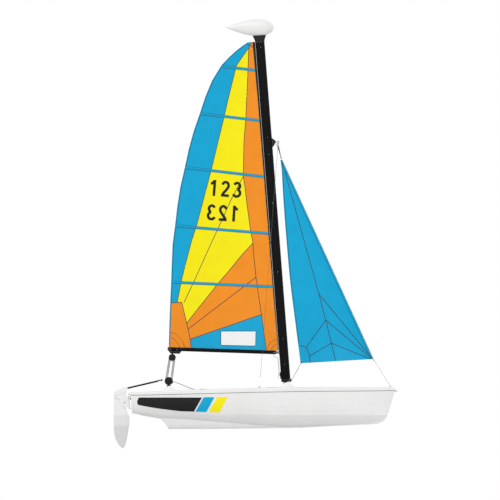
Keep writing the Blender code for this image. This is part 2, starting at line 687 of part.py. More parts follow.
def make_bridle(side, tack, down):
    """The wire from the tack shackle, which lies along down, to one bow, and the tang that it ends on."""
    y = hull_y(side)
    seat = max(deck_surface(BRIDLE_BOW_X + x, 0.0) for x in (-0.016, 0.0, 0.016)) + GAP
    bow = Vector((BRIDLE_BOW_X, y, seat + 0.014))
    along = (tack - bow).normalized()
    outline = [(-0.016, -0.014), (0.016, -0.014), (0.009, 0.006), (0.0, 0.010), (-0.009, 0.006)]
    name = "bow_tang_" + side
    tang = Shape().prism([(bow.x + x, bow.z + z) for x, z in outline], bow.y - 0.002, bow.y + 0.002)
    tang.finish(name, own(name, STEEL, 0.3, 1.0))
    clear = TACK_SHACKLE_RADIUS + WIRE_RADIUS * abs(along.dot(down)) + GAP
    end = tack - along * (clear / along.cross(down).length)
    inward = abs(along.y)
    start = bow + along * ((0.002 + GAP + WIRE_RADIUS * math.sqrt(1 - inward ** 2)) / inward)
    wire_name = "bridle_" + side
    Shape().tube([start, end], WIRE_RADIUS, 8).finish(wire_name, own(wire_name, STEEL, 0.35, 1.0))


# Mast body

def mast_section(up_mast, chord=MAST_CHORD, width=MAST_WIDTH, groove=True):
    """The extrusion: round nose, full middle, flat tail with the luff groove."""
    half = chord / 2
    ring = []
    for angle in range(-75, 76, 15):
        a = math.radians(angle)
        ring.append((half * 0.10 + half * 0.90 * math.cos(a), width / 2 * math.sin(a)))
    ring += [(-half * 0.20, width / 2 * 0.98), (-half * 0.65, width / 2 * 0.74), (-half, 0.016)]
    if groove:
        ring += [(-half, GROOVE_WIDTH / 2), (-half + GROOVE_DEPTH, GROOVE_WIDTH / 2),
                 (-half + GROOVE_DEPTH, -GROOVE_WIDTH / 2), (-half, -GROOVE_WIDTH / 2)]
    ring += [(-half, -0.016), (-half * 0.65, -width / 2 * 0.74), (-half * 0.20, -width / 2 * 0.98)]
    return [(x, y, up_mast) for x, y in ring]


def make_mast():
    look = own("mast", BLACK, 0.35, 0.4)
    start = FOOT_PLUG_LENGTH + GAP
    end = MAST_LENGTH
    Shape().loft([mast_section(start), mast_section(end)]).finish("mast", look, MAST, MAST_MATRIX)
    foot = Shape().loft([mast_section(0.0, MAST_CHORD * 0.9, MAST_WIDTH * 0.8, False),
                         mast_section(0.006, MAST_CHORD, MAST_WIDTH, False),
                         mast_section(FOOT_PLUG_LENGTH, MAST_CHORD, MAST_WIDTH, False)])
    foot = foot.finish("mast_foot", own("mast_foot", BLACK, 0.45), MAST, MAST_MATRIX)
    ball = BALL_RADIUS + PIN_GAP
    cup = [(-0.040, ball)]
    cup += [(-BALL_DROP + ball * math.sin(a), ball * math.cos(a))
            for a in (math.radians(d) for d in (0, 25, 50, 78))]
    cutter = Shape().turned(cup, (0, 0, 0), (0, 0, 1), 20).finish("helper_cup", None, MAST, MAST_MATRIX)
    combine(foot, cutter, "DIFFERENCE")
    grow = [(GAP, MAST_CHORD, 1.0), (0.035, MAST_CHORD * 1.10, 1.0), (CAP_LENGTH, CAP_CHORD, 1.05)]
    cap = Shape().loft([mast_section(end + z, chord, MAST_WIDTH * w, False) for z, chord, w in grow])
    cap.finish("masthead_cap", own("masthead_cap", BLACK, 0.45), MAST, MAST_MATRIX)


def make_float():
    """A teardrop with an oval section, cut flat where it sits on the masthead cap."""
    half_height = FLOAT_LENGTH * FLOAT_FULLNESS
    middle = up(FLOAT_HEIGHT)
    rings = []
    for share in (0.006, 0.06, 0.16, 0.30, 0.45, 0.58, 0.70, 0.80, 0.88, 0.94, 0.98, 0.997):
        fine = math.sqrt(max(0.0, 1 - ((share - 0.68) / 0.32) ** 2)) if share > 0.68 else None
        grow = fine if fine is not None else math.sin(math.pi / 2 * share / 0.68) ** 1.12
        x = FLOAT_TIP_X + FLOAT_LENGTH * share
        ring = []
        for k in range(20):
            a = 2 * math.pi * k / 20
            ring.append((x, FLOAT_WIDTH / 2 * grow * math.cos(a), middle + half_height * grow * math.sin(a)))
        rings.append(ring)
    shape = Shape().loft(rings)
    body = shape.finish("masthead_float", own("masthead_float", WHITE, 0.4), MAST)
    top = MAST_TOP + GAP
    reach = FLOAT_LENGTH
    seat = [(-reach, -reach), (reach, -reach), (reach, reach), (-reach, reach)]
    cutter = Shape().plate(seat, top - reach, top).finish("helper_seat", None, MAST, MAST_MATRIX)
    combine(body, cutter, "DIFFERENCE")


def make_mast_fittings():
    face = MAST_CHORD / 2 + GAP
    outline = [(face, HOUND_UP + 0.055), (face + 0.012, HOUND_UP + 0.050), (face + 0.050, HOUND_UP + 0.012),
               (face + 0.056, HOUND_UP), (face + 0.050, HOUND_UP - 0.012), (face + 0.010, HOUND_UP - 0.070),
               (face, HOUND_UP - 0.072)]
    Shape().prism(outline, -0.004, 0.004).finish("hound_tang", own("hound_tang", STEEL, 0.35, 1.0), MAST,
                                                 MAST_MATRIX)
    back = -MAST_CHORD / 2 - GAP
    pin_x = -MAST_CHORD / 2 - LUFF_OFFSET
    inner = TONGUE_THICKNESS / 2 + PIN_GAP
    outer = inner + LUG_THICKNESS
    plate = [(back - 0.004, -0.015), (back, -0.015), (back, 0.015), (back - 0.004, 0.015)]
    neck = Shape().plate(plate, GOOSENECK_UP - outer - 0.012, GOOSENECK_UP + outer + 0.006).finish(
        "gooseneck", own("gooseneck", BLACK, 0.4, 0.3), MAST, MAST_MATRIX)
    lug = [(back - 0.001, -GOOSENECK_LUG)]
    lug += [(pin_x - GOOSENECK_LUG * math.cos(a), GOOSENECK_LUG * math.sin(a))
            for a in (math.radians(d) for d in range(-90, 91, 20))]
    lug += [(back - 0.001, GOOSENECK_LUG)]
    for k, (z0, z1) in enumerate(((inner, outer), (-outer, -inner))):
        ear = Shape().plate(lug, GOOSENECK_UP + min(z0, z1), GOOSENECK_UP + max(z0, z1))
        combine(neck, ear.finish("helper_lug_" + str(k), None, MAST, MAST_MATRIX), "UNION")
    pin = Shape().tube([(pin_x, 0, GOOSENECK_UP - outer - 0.004), (pin_x, 0, GOOSENECK_UP + outer + 0.004)],
                       GOOSENECK_PIN, 16)
    combine(neck, pin.finish("helper_gooseneck_pin", None, MAST, MAST_MATRIX), "UNION")
    side = [(back, 0.050), (back, 0.150), (back - 0.014, 0.146), (back - 0.018, 0.118), (back - 0.022, 0.100),
            (back - 0.014, 0.094), (back - 0.010, 0.070), (back - 0.020, 0.058)]
    Shape().prism(side, -0.007, 0.007).finish("downhaul_cleat", own("downhaul_cleat", BLACK, 0.4), MAST,
                                              MAST_MATRIX)


# Boom body

def make_boom():
    """The boom, its front casting with the gooseneck tongue, the clew fitting and the upper block."""
    half = BOOM_WIDTH / 2
    deep = BOOM_DEPTH / 2
    corner = 0.008
    ring = [(half, deep - corner), (half - corner, deep), (-half + corner, deep), (-half, deep - corner),
            (-half, -deep + corner), (-half + corner, -deep), (half - corner, -deep), (half, -deep + corner)]
    start = BOOM_START + 0.035
    rows = [[(-s, y, z) for y, z in ring] for s in (start + GAP, BOOM_LENGTH)]
    Shape().loft(rows).finish("boom", own("boom", BLACK, 0.35, 0.4), BOOM, BOOM_MATRIX)
    rows = [[(-s, y * w, z * w) for y, z in ring] for s, w in ((BOOM_START, 0.72), (BOOM_START + 0.012, 0.96),
                                                               (start, 1.0))]
    casting = Shape().loft(rows).finish("boom_end", own("boom_end", BLACK, 0.45), BOOM, BOOM_MATRIX)
    tongue_half = GOOSENECK_LUG - 0.001
    tongue = [(-BOOM_START - 0.010, -tongue_half)]
    tongue += [(tongue_half * math.cos(a), tongue_half * math.sin(a))
               for a in (math.radians(d) for d in range(-90, 91, 20))]
    tongue += [(-BOOM_START - 0.010, tongue_half)]
    eye = Shape().plate(tongue, -TONGUE_THICKNESS / 2, TONGUE_THICKNESS / 2)
    combine(casting, eye.finish("helper_tongue", None, BOOM, HINGE_MATRIX), "UNION")
    hole = Shape().tube([(0, 0, -0.03), (0, 0, 0.03)], GOOSENECK_PIN + PIN_GAP, 16)
    combine(casting, hole.finish("helper_tongue_hole", None, BOOM, HINGE_MATRIX), "DIFFERENCE")
    low = -deep - GAP
    fitting = [(-BOOM_LENGTH, low), (-BOOM_LENGTH + 0.190, low), (-BOOM_LENGTH + 0.165, low - 0.038),
               (-BOOM_LENGTH + 0.035, low - 0.038)]
    Shape().prism(fitting, -0.014, 0.014).finish(
        "clew_fitting", own("clew_fitting", BLACK, 0.4), BOOM, BOOM_MATRIX)
    end = -BOOM_LENGTH
    tail = [(end - GAP, deep + 0.002), (end - GAP, -deep), (end - 0.010, -deep + 0.006),
            (end - 0.012, deep - 0.006)]
    Shape().prism(tail, -half, half).finish("boom_plug", own("boom_plug", BLACK, 0.45), BOOM, BOOM_MATRIX)
    make_upper_block(low - 0.038 - GAP)


def make_upper_block(seat):
    """The upper block hangs from the clew fitting."""
    centre = Vector((-BOOM_LENGTH + 0.060, 0, seat - UPPER_BLOCK_RADIUS - 0.004))
    block = Shape().turned(triple_block(UPPER_BLOCK_RADIUS), centre, (0, 1, 0), BLOCK_SIDES).finish(
        "sheet_block_upper", own("sheet_block_upper", BLACK, 0.4), BOOM, BOOM_MATRIX)
    hanger = [(seat, 0.011), (seat - 0.008, 0.011), (centre.z, 0.009)]
    post = Shape().turned(hanger, (centre.x, 0, 0), (0, 0, 1), 16)
    combine(block, post.finish("helper_hanger", None, BOOM, BOOM_MATRIX), "UNION")


def luff_x(height):
    """Where the mainsail's luff lies at this height, just behind the mast."""
    aft = -MAST_CHORD / 2 - LUFF_GAP
    cos, sin = math.cos(MAST_RAKE), math.sin(MAST_RAKE)
    along = (height - MAST_FOOT_HEIGHT - aft * sin) / cos
    return FRONT_BEAM_X + aft * cos - along * sin


def sail_point(front, back, share, camber):
    """A point on a chord from luff to leech, bellied to port, fullest at two fifths of the chord."""
    chord = math.hypot(front[0] - back[0], front[1] - back[1])
    belly = math.sin(math.pi * share**0.78)
    return Vector((front[0] + (back[0] - front[0]) * share, camber * chord * belly,
                   up(front[1] + (back[1] - front[1]) * share)))


def by_height(points, height):
    """X at this height on a line given from its lowest point up."""
    return curve_at([(h, x) for x, h in points], height)


def boom_top(x):
    """Height of the boom's upper face, on which the foot of the sail sits."""
    hinge = HINGE_MATRIX.translation
    lean = BOOM_RISE - MAST_RAKE
    return hinge.z + DRAFT + (hinge.x - x) * math.tan(lean) + BOOM_DEPTH / 2 / math.cos(lean)


def main_row(level):
    """Luff point, leech point and camber at a level counted in battens, from the foot at 0."""
    i = min(int(level), len(LUFF_HEIGHTS) - 2)
    share = level - i
    foot_luff = boom_top(luff_x(GOOSENECK_UP + MAST_FOOT_HEIGHT)) + GAP
    foot_leech = boom_top(FRONT_BEAM_X - (FRONT_BEAM_X - MAIN_LEECH[0][0]) * BOOM_LENGTH / LEECH_BOOM) + GAP
    luffs = [foot_luff] + LUFF_HEIGHTS[1:]
    leeches = [foot_leech] + LEECH_HEIGHTS[1:]
    luff = luffs[i] + (luffs[i + 1] - luffs[i]) * share
    leech = leeches[i] + (leeches[i + 1] - leeches[i]) * share
    camber = MAIN_CAMBER * min(1.0, level / 1.2) ** 0.8
    front = luff_x(luff)
    back = front + (by_height(MAIN_LEECH, leech) - front) * BOOM_LENGTH / LEECH_BOOM
    return (front, luff), (back, leech), camber


def main_grid():
    """The mainsail's middle surface, row by row from the foot to the head."""
    last = len(LUFF_HEIGHTS) - 1
    rows = []
    for k in range(last * ROWS_BETWEEN + 1):
        luff, leech, camber = main_row(k / ROWS_BETWEEN)
        rows.append([sail_point(luff, leech, j / SAIL_COLUMNS, camber) for j in range(SAIL_COLUMNS + 1)])
    return rows


def moved_across(row, distance):
    return [point + Vector((0, distance, 0)) for point in row]


def make_mainsail():
    grid = main_grid()
    front = [moved_across(row, SAIL_THICKNESS / 2) for row in grid]
    back = [moved_across(row, -SAIL_THICKNESS / 2) for row in grid]
    Shape().grid_shell(front, back).finish("mainsail", own("mainsail", BLUE, 0.6), BOOM)


def make_batten(number):
    """A flat strip along one batten level, on the starboard face of the sail."""
    grid = main_grid()
    middle = number * ROWS_BETWEEN
    strip = []
    for neighbour in (middle - 1, middle, middle + 1):
        rise = abs(grid[neighbour][0].z - grid[middle][0].z)
        share = BATTEN_WIDTH / 2 / rise if rise else 0.0
        row = [here.lerp(there, share) for here, there in zip(grid[middle], grid[neighbour])]
        row[0] = row[0].lerp(row[1], BATTEN_END_INSET)
        row[-1] = row[-1].lerp(row[-2], BATTEN_END_INSET)
        strip.append(row)
    face = -SAIL_THICKNESS / 2 - BATTEN_SEAT
    inner = [moved_across(row, face) for row in strip]
    outer = [moved_across(row, face - BATTEN_THICKNESS) for row in strip]
    name = "batten_" + str(number)
    Shape().grid_shell(outer, inner).finish(name, own(name, BLUE, 0.5), BOOM)


# Jib body

def make_jib():
    """The jib behind its luff wire, bellied to port."""
    head, tack = JIB_HEAD, JIB_TACK
    along = Vector((tack[0] - head[0], tack[1] - head[1])).normalized()
    behind = Vector((along.y, -along.x)) * (STAY_RADIUS + 0.0006)
    front, back = [], []
    rows = 22
    for i in range(rows + 1):
        v = 0.010 + 0.986 * i / rows
        luff = Vector(head) * (1 - v) + Vector(tack) * v + behind
        height = JIB_LEECH[0][1] + (JIB_LEECH[-1][1] - JIB_LEECH[0][1]) * v
        leech_x = curve_at([(-h, x) for x, h in JIB_LEECH], -height)
        leech = (min(leech_x, luff.x - 0.022), height)
        camber = JIB_CAMBER * min(1.0, (1 - v) / 0.12 + 0.35)
        row = [sail_point(luff, leech, j / JIB_COLUMNS, camber) for j in range(JIB_COLUMNS + 1)]
        front.append([p + Vector((0, SAIL_THICKNESS / 2, 0)) for p in row])
        back.append([p - Vector((0, SAIL_THICKNESS / 2, 0)) for p in row])
    Shape().grid_shell(front, back).finish("jib", own("jib", BLUE, 0.6), JIB)


# Rudders

def steer_x(height):
    """Forward of the bolt, where the steering pin lies at this height."""
    return STEER_AHEAD - height * math.tan(STEER_TILT)


def along_steering(height):
    return Vector((steer_x(height), 0, height))


# Edges of the blade, (height, x) from the bolt
BLADE_FRONT = [(0.110, 0.022), (-0.085, 0.022), (-0.117, 0.032), (-0.176, 0.059), (-0.221, 0.074),
               (-0.300, 0.071), (-0.398, 0.056), (-0.470, 0.045), (-0.516, 0.036), (-0.575, 0.022),
               (-0.626, 0.006), (-0.660, -0.018)]
BLADE_BACK = [(0.110, -0.155), (-0.369, -0.155), (-0.450, -0.147), (-0.516, -0.133), (-0.575, -0.108),
              (-0.626, -0.073), (-0.660, -0.034)]


def blade_section(height):
    """A foil: round nose, fullest a third of the way back, thin tail."""
    front = curve_at([(-h, x) for h, x in BLADE_FRONT], -height)
    back = curve_at([(-h, x) for h, x in BLADE_BACK], -height)
    chord = front - back
    thick = BLADE_THICKNESS / 2 * min(1.0, 0.35 + chord / 0.16)
    upper = [(0.0, 0.10), (0.03, 0.55), (0.10, 0.88), (0.28, 1.0), (0.50, 0.88), (0.78, 0.50), (1.0, 0.14)]
    ring = [(front - chord * s, thick * t, height) for s, t in upper]
    ring += [(front - chord * s, -thick * t, height) for s, t in reversed(upper)]
    return ring


def make_blade(side, bolt, frame):
    heights = sorted({h for h, _ in BLADE_FRONT + BLADE_BACK}, reverse=True)
    shape = Shape().loft([blade_section(h) for h in heights])
    cut = shape.mesh
    lean = math.radians(65)
    outward = Vector((math.cos(lean), 0, math.sin(lean)))
    geometry = cut.verts[:] + cut.edges[:] + cut.faces[:]
    found = bmesh.ops.bisect_plane(cut, geom=geometry, plane_co=outward * 0.029, plane_no=outward,
                                   clear_outer=True)
    rim = [e for e in found["geom_cut"] if isinstance(e, bmesh.types.BMEdge)]
    bmesh.ops.edgeloop_fill(cut, edges=rim)
    name = "blade_" + side
    blade = shape.finish(name, own(name, WHITE, 0.35), bolt, frame)
    hole = Shape().tube([(0, -0.05, 0), (0, 0.05, 0)], BOLT_RADIUS + PIN_GAP, 16)
    combine(blade, hole.finish("helper_bolt_hole_" + side, None, bolt, frame), "DIFFERENCE")


def make_lower_casting(side, steer, frame):
    """Two cheeks round the blade, a web ahead of it, and the barrel that turns on the pin."""
    name = "lower_casting_" + side
    top_front = 0.083
    cheeks = [(0.030, top_front), (0.014, top_front - 0.001), (-0.003, 0.094), (-0.065, 0.046),
              (-0.068, 0.016), (-0.052, -0.020), (-0.026, -0.051), (0.020, -0.086), (0.030, -0.086),
              (0.030, -0.068), (steer_x(-0.068) - 0.004, -0.068), (steer_x(0.062) - 0.004, 0.062),
              (0.030, 0.062)]
    casting = Shape().prism(cheeks, -CASTING_WIDTH / 2, CASTING_WIDTH / 2).finish(
        name, own(name, WHITE, 0.4), steer, frame)
    slot = [(0.036, 0.12), (-0.10, 0.12), (-0.10, -0.12), (0.036, -0.12)]
    cutter = Shape().prism(slot, -BLADE_SLOT / 2, BLADE_SLOT / 2)
    combine(casting, cutter.finish("helper_blade_slot_" + side, None, steer, frame), "DIFFERENCE")
    half = GUDGEON_HALF_SPAN - GUDGEON_THICKNESS / 2 - PIN_GAP
    barrel = Shape().tube([along_steering(-half), along_steering(half)], BARREL_RADIUS, 16)
    combine(casting, barrel.finish("helper_barrel_" + side, None, steer, frame), "UNION")
    bore = Shape().tube([along_steering(-0.12), along_steering(0.12)], STEER_PIN + PIN_GAP, 16)
    combine(casting, bore.finish("helper_pin_bore_" + side, None, steer, frame), "DIFFERENCE")
    bolt_end = CASTING_WIDTH / 2 + 0.004
    bolt = Shape().tube([(0, -bolt_end, 0), (0, bolt_end, 0)], BOLT_RADIUS, 16)
    combine(casting, bolt.finish("helper_bolt_" + side, None, steer, frame), "UNION")


def make_upper_casting(side, steer, frame):
    """A hood over the blade's head, hollow below, with skirts that stand on the lower casting."""
    name = "upper_casting_" + side
    outline = [(-0.155, 0.105), (-0.152, 0.130), (-0.146, 0.148), (-0.118, 0.165), (-0.088, 0.180),
               (-0.055, 0.199), (-0.020, 0.214), (0.010, 0.222), (0.038, 0.227), (0.046, 0.215),
               (0.044, 0.198), (0.032, 0.166), (0.014, 0.146), (-0.020, 0.131), (-0.059, 0.119),
               (-0.106, 0.109)]
    hood = Shape().prism(outline, -HEAD_WIDTH / 2, HEAD_WIDTH / 2).finish(
        name, own(name, WHITE, 0.4), steer, frame)
    rise = GAP + 0.0001
    skirt = [(-0.1545, 0.112), (-0.06, 0.130), (0.014, 0.155), (0.030, 0.160), (0.030, 0.083 + rise),
             (0.014, 0.082 + rise), (-0.003, 0.094 + rise), (-0.065, 0.046 + rise), (-0.080, 0.048),
             (-0.154, 0.082)]
    web = Shape().prism(skirt, -SKIRT_WIDTH / 2, SKIRT_WIDTH / 2)
    combine(hood, web.finish("helper_skirt_" + side, None, steer, frame), "UNION")
    arc = [(BLADE_SWEEP * math.cos(a), BLADE_SWEEP * math.sin(a))
           for a in (math.radians(d) for d in range(0, 185, 5))]
    arc += [(-BLADE_SWEEP, -0.10), (BLADE_SWEEP, -0.10)]
    slot = Shape().prism(arc, -HEAD_SLOT / 2, HEAD_SLOT / 2)
    combine(hood, slot.finish("helper_head_slot_" + side, None, steer, frame), "DIFFERENCE")
    root, along = tiller_line()
    outside = root + along * 0.05
    socket = Shape().tube([root - along * (SPIGOT_LENGTH + GAP), outside], SPIGOT_RADIUS + GAP, 16)
    combine(hood, socket.finish("helper_socket_" + side, None, steer, frame), "DIFFERENCE")
    face = Shape().tube([root, outside], TILLER_RADIUS + 0.010, 16)
    combine(hood, face.finish("helper_tiller_face_" + side, None, steer, frame), "DIFFERENCE")


def tiller_line():
    root = Vector((TILLER_ROOT[0], 0, TILLER_ROOT[1]))
    end = Vector((TILLER_END[0], 0, TILLER_END[1]))
    return root, (end - root).normalized()


def make_tiller(side, steer, frame):
    """A tube with a spigot aft, and forward a flat tongue with the crossbar's pin."""
    name = "tiller_" + side
    root, along = tiller_line()
    end = Vector((TILLER_END[0], 0, TILLER_END[1]))
    pin_along = Vector((-math.sin(STEER_TILT), 0, math.cos(STEER_TILT)))
    body = Shape().tube([root + along * GAP, end - along * TILLER_TONGUE], TILLER_RADIUS, 16).finish(
        name, own(name, BLACK, 0.35, 0.3), steer, frame)
    spigot = Shape().tube([root - along * SPIGOT_LENGTH, root + along * 0.02], SPIGOT_RADIUS, 16)
    combine(body, spigot.finish("helper_spigot_" + side, None, steer, frame), "UNION")
    across = Vector((0, 1, 0))
    thick = along.cross(across)
    corners = []
    for a, b in ((-1, -1), (1, -1), (1, 1), (-1, 1)):
        corners.append(across * a * CROSSBAR_EYE + thick * b * EYE_THICKNESS)
    rings = [[end - along * s + c for c in corners] for s in (TILLER_TONGUE + 0.008, 0.006)]
    tongue = Shape().loft(rings).finish("helper_tongue_" + side, None, steer, frame)
    combine(body, tongue, "UNION")
    reach = pin_along * EYE_THICKNESS
    pad = Shape().tube([end - reach, end + reach], CROSSBAR_EYE + 0.002, 20)
    combine(body, pad.finish("helper_pad_" + side, None, steer, frame), "UNION")
    pin = Shape().tube([end, end + pin_along * (2 * EYE_THICKNESS + 0.005)], STEER_PIN, 16)
    combine(body, pin.finish("helper_crossbar_pin_" + side, None, steer, frame), "UNION")


def make_hanger(side, frame):
    """Two gudgeons on the transom and the pin through them."""
    name = "rudder_hanger_" + side
    reach = GUDGEON_HALF_SPAN + GUDGEON_THICKNESS / 2 + 0.006
    pin = Shape().tube([along_steering(-reach), along_steering(reach)], STEER_PIN, 16).finish(
        name, own(name, STEEL, 0.35, 1.0), None, frame)
    for k, middle in enumerate((-GUDGEON_HALF_SPAN, GUDGEON_HALF_SPAN)):
        rings = [gudgeon_ring(middle + rise) for rise in (-GUDGEON_THICKNESS / 2, GUDGEON_THICKNESS / 2)]
        eye = Shape().loft(rings).finish("helper_gudgeon_" + str(k) + side, None, None, frame)
        combine(pin, eye, "UNION")


def gudgeon_ring(height):
    """Outline of a gudgeon, square to the pin: round behind it, and flat against the transom."""
    lean = math.tan(STEER_TILT)
    axis_x = steer_x(height)
    eye = [(0.0, 0.011), (-0.0078, 0.0078), (-0.011, 0.0), (-0.0078, -0.0078), (0.0, -0.011)]
    ring = [(axis_x + x, y, height + x * lean) for x, y in eye]
    reach = transom_x(BOLT_HEIGHT + height) - BOLT_X - axis_x
    high = height + reach * lean
    front = transom_x(BOLT_HEIGHT + high) - BOLT_X - GAP
    return ring + [(front, -0.020, high), (front, 0.020, high)]


def transom_x(height):
    """The transom leans aft towards its top."""
    share = (height - KEEL[0][1]) / (SHEER[0][1] - KEEL[0][1])
    return KEEL[0][0] + (TRANSOM_X - KEEL[0][0]) * share


def make_rudder(side):
    bolt_at = Vector((BOLT_X, hull_y(side), up(BOLT_HEIGHT)))
    frame = Matrix.Translation(bolt_at)
    lean = Matrix.Rotation(-STEER_TILT, 4, "Y")
    steer = pivot("steering_" + side, bolt_at + Vector((STEER_AHEAD, 0, 0)), lean)
    make_hanger(side, frame)
    make_lower_casting(side, steer, frame)
    make_upper_casting(side, steer, frame)
    make_tiller(side, steer, frame)
    bolt = pivot("kick_up_" + side, bolt_at)
    make_blade(side, bolt, frame)
    return steer


# Crossbar and extension

def make_crossbar():
    """The bar between the tillers: its eyes sit on the tiller tongues."""
    lean = Matrix.Rotation(-STEER_TILT, 4, "Y")
    at = Vector((BOLT_X + TILLER_END[0], hull_y("starboard"), up(BOLT_HEIGHT + TILLER_END[1])))
    frame = Matrix.Translation(at) @ lean
    bar = pivot("crossbar_hinge", at, lean)
    low = EYE_THICKNESS + PIN_GAP
    high = low + EYE_THICKNESS
    inset = 0.036
    centre = high - CROSSBAR_RADIUS
    body = Shape().tube([(0, inset, centre), (0, HULL_SPACING - inset, centre)], CROSSBAR_RADIUS, 16).finish(
        "crossbar", own("crossbar", BLACK, 0.35, 0.3), bar, frame)
    for k, (y, sign) in enumerate(((0.0, 1.0), (HULL_SPACING, -1.0))):
        eye = [(CROSSBAR_EYE, sign * (inset + 0.012)), (CROSSBAR_EYE, 0.0)]
        eye += [(CROSSBAR_EYE * math.cos(a), -sign * CROSSBAR_EYE * math.sin(a))
                for a in (math.radians(d) for d in range(20, 161, 20))]
        eye += [(-CROSSBAR_EYE, 0.0), (-CROSSBAR_EYE, sign * (inset + 0.012))]
        plate = Shape().plate([(x, y + v) for x, v in eye], low, high)
        combine(body, plate.finish("helper_eye_" + str(k), None, bar, frame), "UNION")
        hole = Shape().tube([(0, y, low - 0.01), (0, y, high + 0.01)], STEER_PIN + PIN_GAP, 16)
        combine(body, hole.finish("helper_eye_hole_" + str(k), None, bar, frame), "DIFFERENCE")
    middle = HULL_SPACING / 2
    tab = [(0.0, middle - 0.012), (-EXTENSION_BEHIND - 0.008, middle - 0.012),
           (-EXTENSION_BEHIND - 0.012, middle), (-EXTENSION_BEHIND - 0.008, middle + 0.012),
           (0.0, middle + 0.012)]
    tab_top = centre - 0.004
    shelf = Shape().plate(tab, tab_top - EYE_THICKNESS, tab_top)
    combine(body, shelf.finish("helper_tab", None, bar, frame), "UNION")
    stud = Shape().tube([(-EXTENSION_BEHIND, middle, tab_top - 0.002),
                         (-EXTENSION_BEHIND, middle, tab_top + EYE_THICKNESS + 0.006)], STEER_PIN, 16)
    combine(body, stud.finish("helper_stud", None, bar, frame), "UNION")
    make_extension(frame, tab_top, middle)


def make_extension(frame, tab_top, middle):
    hinge_at = frame @ Vector((-EXTENSION_BEHIND, middle, tab_top))
    lean = Matrix.Rotation(-STEER_TILT, 4, "Y")
    hinge = pivot("extension_hinge", hinge_at, lean)
    at = Matrix.Translation(hinge_at) @ lean
    low = PIN_GAP
    high = low + EYE_THICKNESS
    centre = (low + high) / 2
    body = Shape().tube([(0, 0.024, centre), (0, EXTENSION_LENGTH, centre)], EXTENSION_RADIUS, 14).finish(
        "tiller_extension", own("tiller_extension", BLACK, 0.5), hinge, at)
    round_end = EXTENSION_RADIUS
    eye = [(round_end, 0.034), (round_end, 0.0)]
    eye += [(round_end * math.cos(a), -round_end * math.sin(a))
            for a in (math.radians(d) for d in range(20, 161, 20))]
    eye += [(-round_end, 0.0), (-round_end, 0.034)]
    combine(body, Shape().plate(eye, low, high).finish("helper_extension_eye", None, hinge, at), "UNION")
    hole = Shape().tube([(0, 0, -0.02), (0, 0, 0.03)], STEER_PIN + PIN_GAP, 16)
    combine(body, hole.finish("helper_extension_hole", None, hinge, at), "DIFFERENCE")


# Mainsheet tail

def trampoline_height(x):
    rear = REAR_BEAM_X + REAR_BEAM_RADIUS + 0.001
    front = FRONT_BEAM_X - FRONT_BEAM_RADIUS - 0.001
    share = (x - rear) / (front - rear)
    return TRAMPOLINE_REAR_HEIGHT + (TRAMPOLINE_FRONT_HEIGHT - TRAMPOLINE_REAR_HEIGHT) * share


TAIL_POINTS = [(-1.290, 0.684), (-1.255, 0.672), (-1.200, 0.650), (-1.140, 0.626), (-1.080, 0.602),
               (-1.030, 0.583), (-0.985, 0.567), (-0.950, 0.5580), (-0.9215, 0.5564)]


def make_tail():
    """The free end of the mainsheet: down from the cleat to the trampoline, into its coil."""
    xs = [x for x, z in TAIL_POINTS]
    count = 40
    path = []
    for i in range(count + 1):
        x = xs[0] + (xs[-1] - xs[0]) * i / count
        path.append((x, up(curve_at(TAIL_POINTS, x))))
    data = bpy.data.curves.new("sheet_tail", "CURVE")
    data.dimensions = "3D"
    data.bevel_depth = ROPE_DIAMETER / 2
    data.bevel_resolution = 2
    data.use_fill_caps = True
    spline = data.splines.new("POLY")
    spline.points.add(count)
    for point, (x, z) in zip(spline.points, path):
        point.co = (x, 0.0, z, 1.0)
    data.materials.append(own("sheet_tail", (0.75, 0.75, 0.74), 0.8))
    bpy.context.scene.collection.objects.link(bpy.data.objects.new("sheet_tail", data))
    make_coil()


def make_coil():
    half = ROPE_DIAMETER * COIL_ROWS / 2
    inner, outer = COIL_DIAMETER / 2 - half, COIL_DIAMETER / 2 + half
    base = trampoline_height(COIL_X) + 0.0012
    top = base + ROPE_DIAMETER * COIL_LAYERS
    sides = 32
    shape = Shape()
    rows = []
    for i in range(sides):
        a = 2 * math.pi * i / sides
        corners = ((inner, base), (outer, base), (outer, top), (inner, top))
        rows.append([shape.mesh.verts.new((COIL_X + r * math.cos(a), COIL_Y + r * math.sin(a), up(z)))
                     for r, z in corners])
    for i in range(sides):
        for k in range(4):
            n, m = (i + 1) % sides, (k + 1) % 4
            shape.mesh.faces.new((rows[i][k], rows[n][k], rows[n][m], rows[i][m]))
    shape.finish("sheet_coil", own("sheet_coil", (0.75, 0.75, 0.74), 0.8))


clear_scene()

MAST = pivot("mast_rotation", (FRONT_BEAM_X, 0, up(MAST_FOOT_HEIGHT)), Matrix.Rotation(-MAST_RAKE, 4, "Y"))
MAST_MATRIX = MAST[1]
HINGE_MATRIX = MAST_MATRIX @ Matrix.Translation((-MAST_CHORD / 2 - LUFF_OFFSET, 0, GOOSENECK_UP))
BOOM_MATRIX = HINGE_MATRIX @ Matrix.Rotation(BOOM_RISE, 4, "Y")
BOOM_EMPTY = bpy.data.objects.new("boom_swing", None)
bpy.context.scene.collection.objects.link(BOOM_EMPTY)
BOOM_EMPTY.matrix_world = HINGE_MATRIX
BOOM = (BOOM_EMPTY, HINGE_MATRIX)
JIB_LEAN = math.atan2(JIB_TACK[0] - JIB_HEAD[0], JIB_HEAD[1] - JIB_TACK[1])
JIB = pivot("jib_swing", (JIB_TACK[0], 0, up(JIB_TACK[1])), Matrix.Rotation(-JIB_LEAN, 4, "Y"))

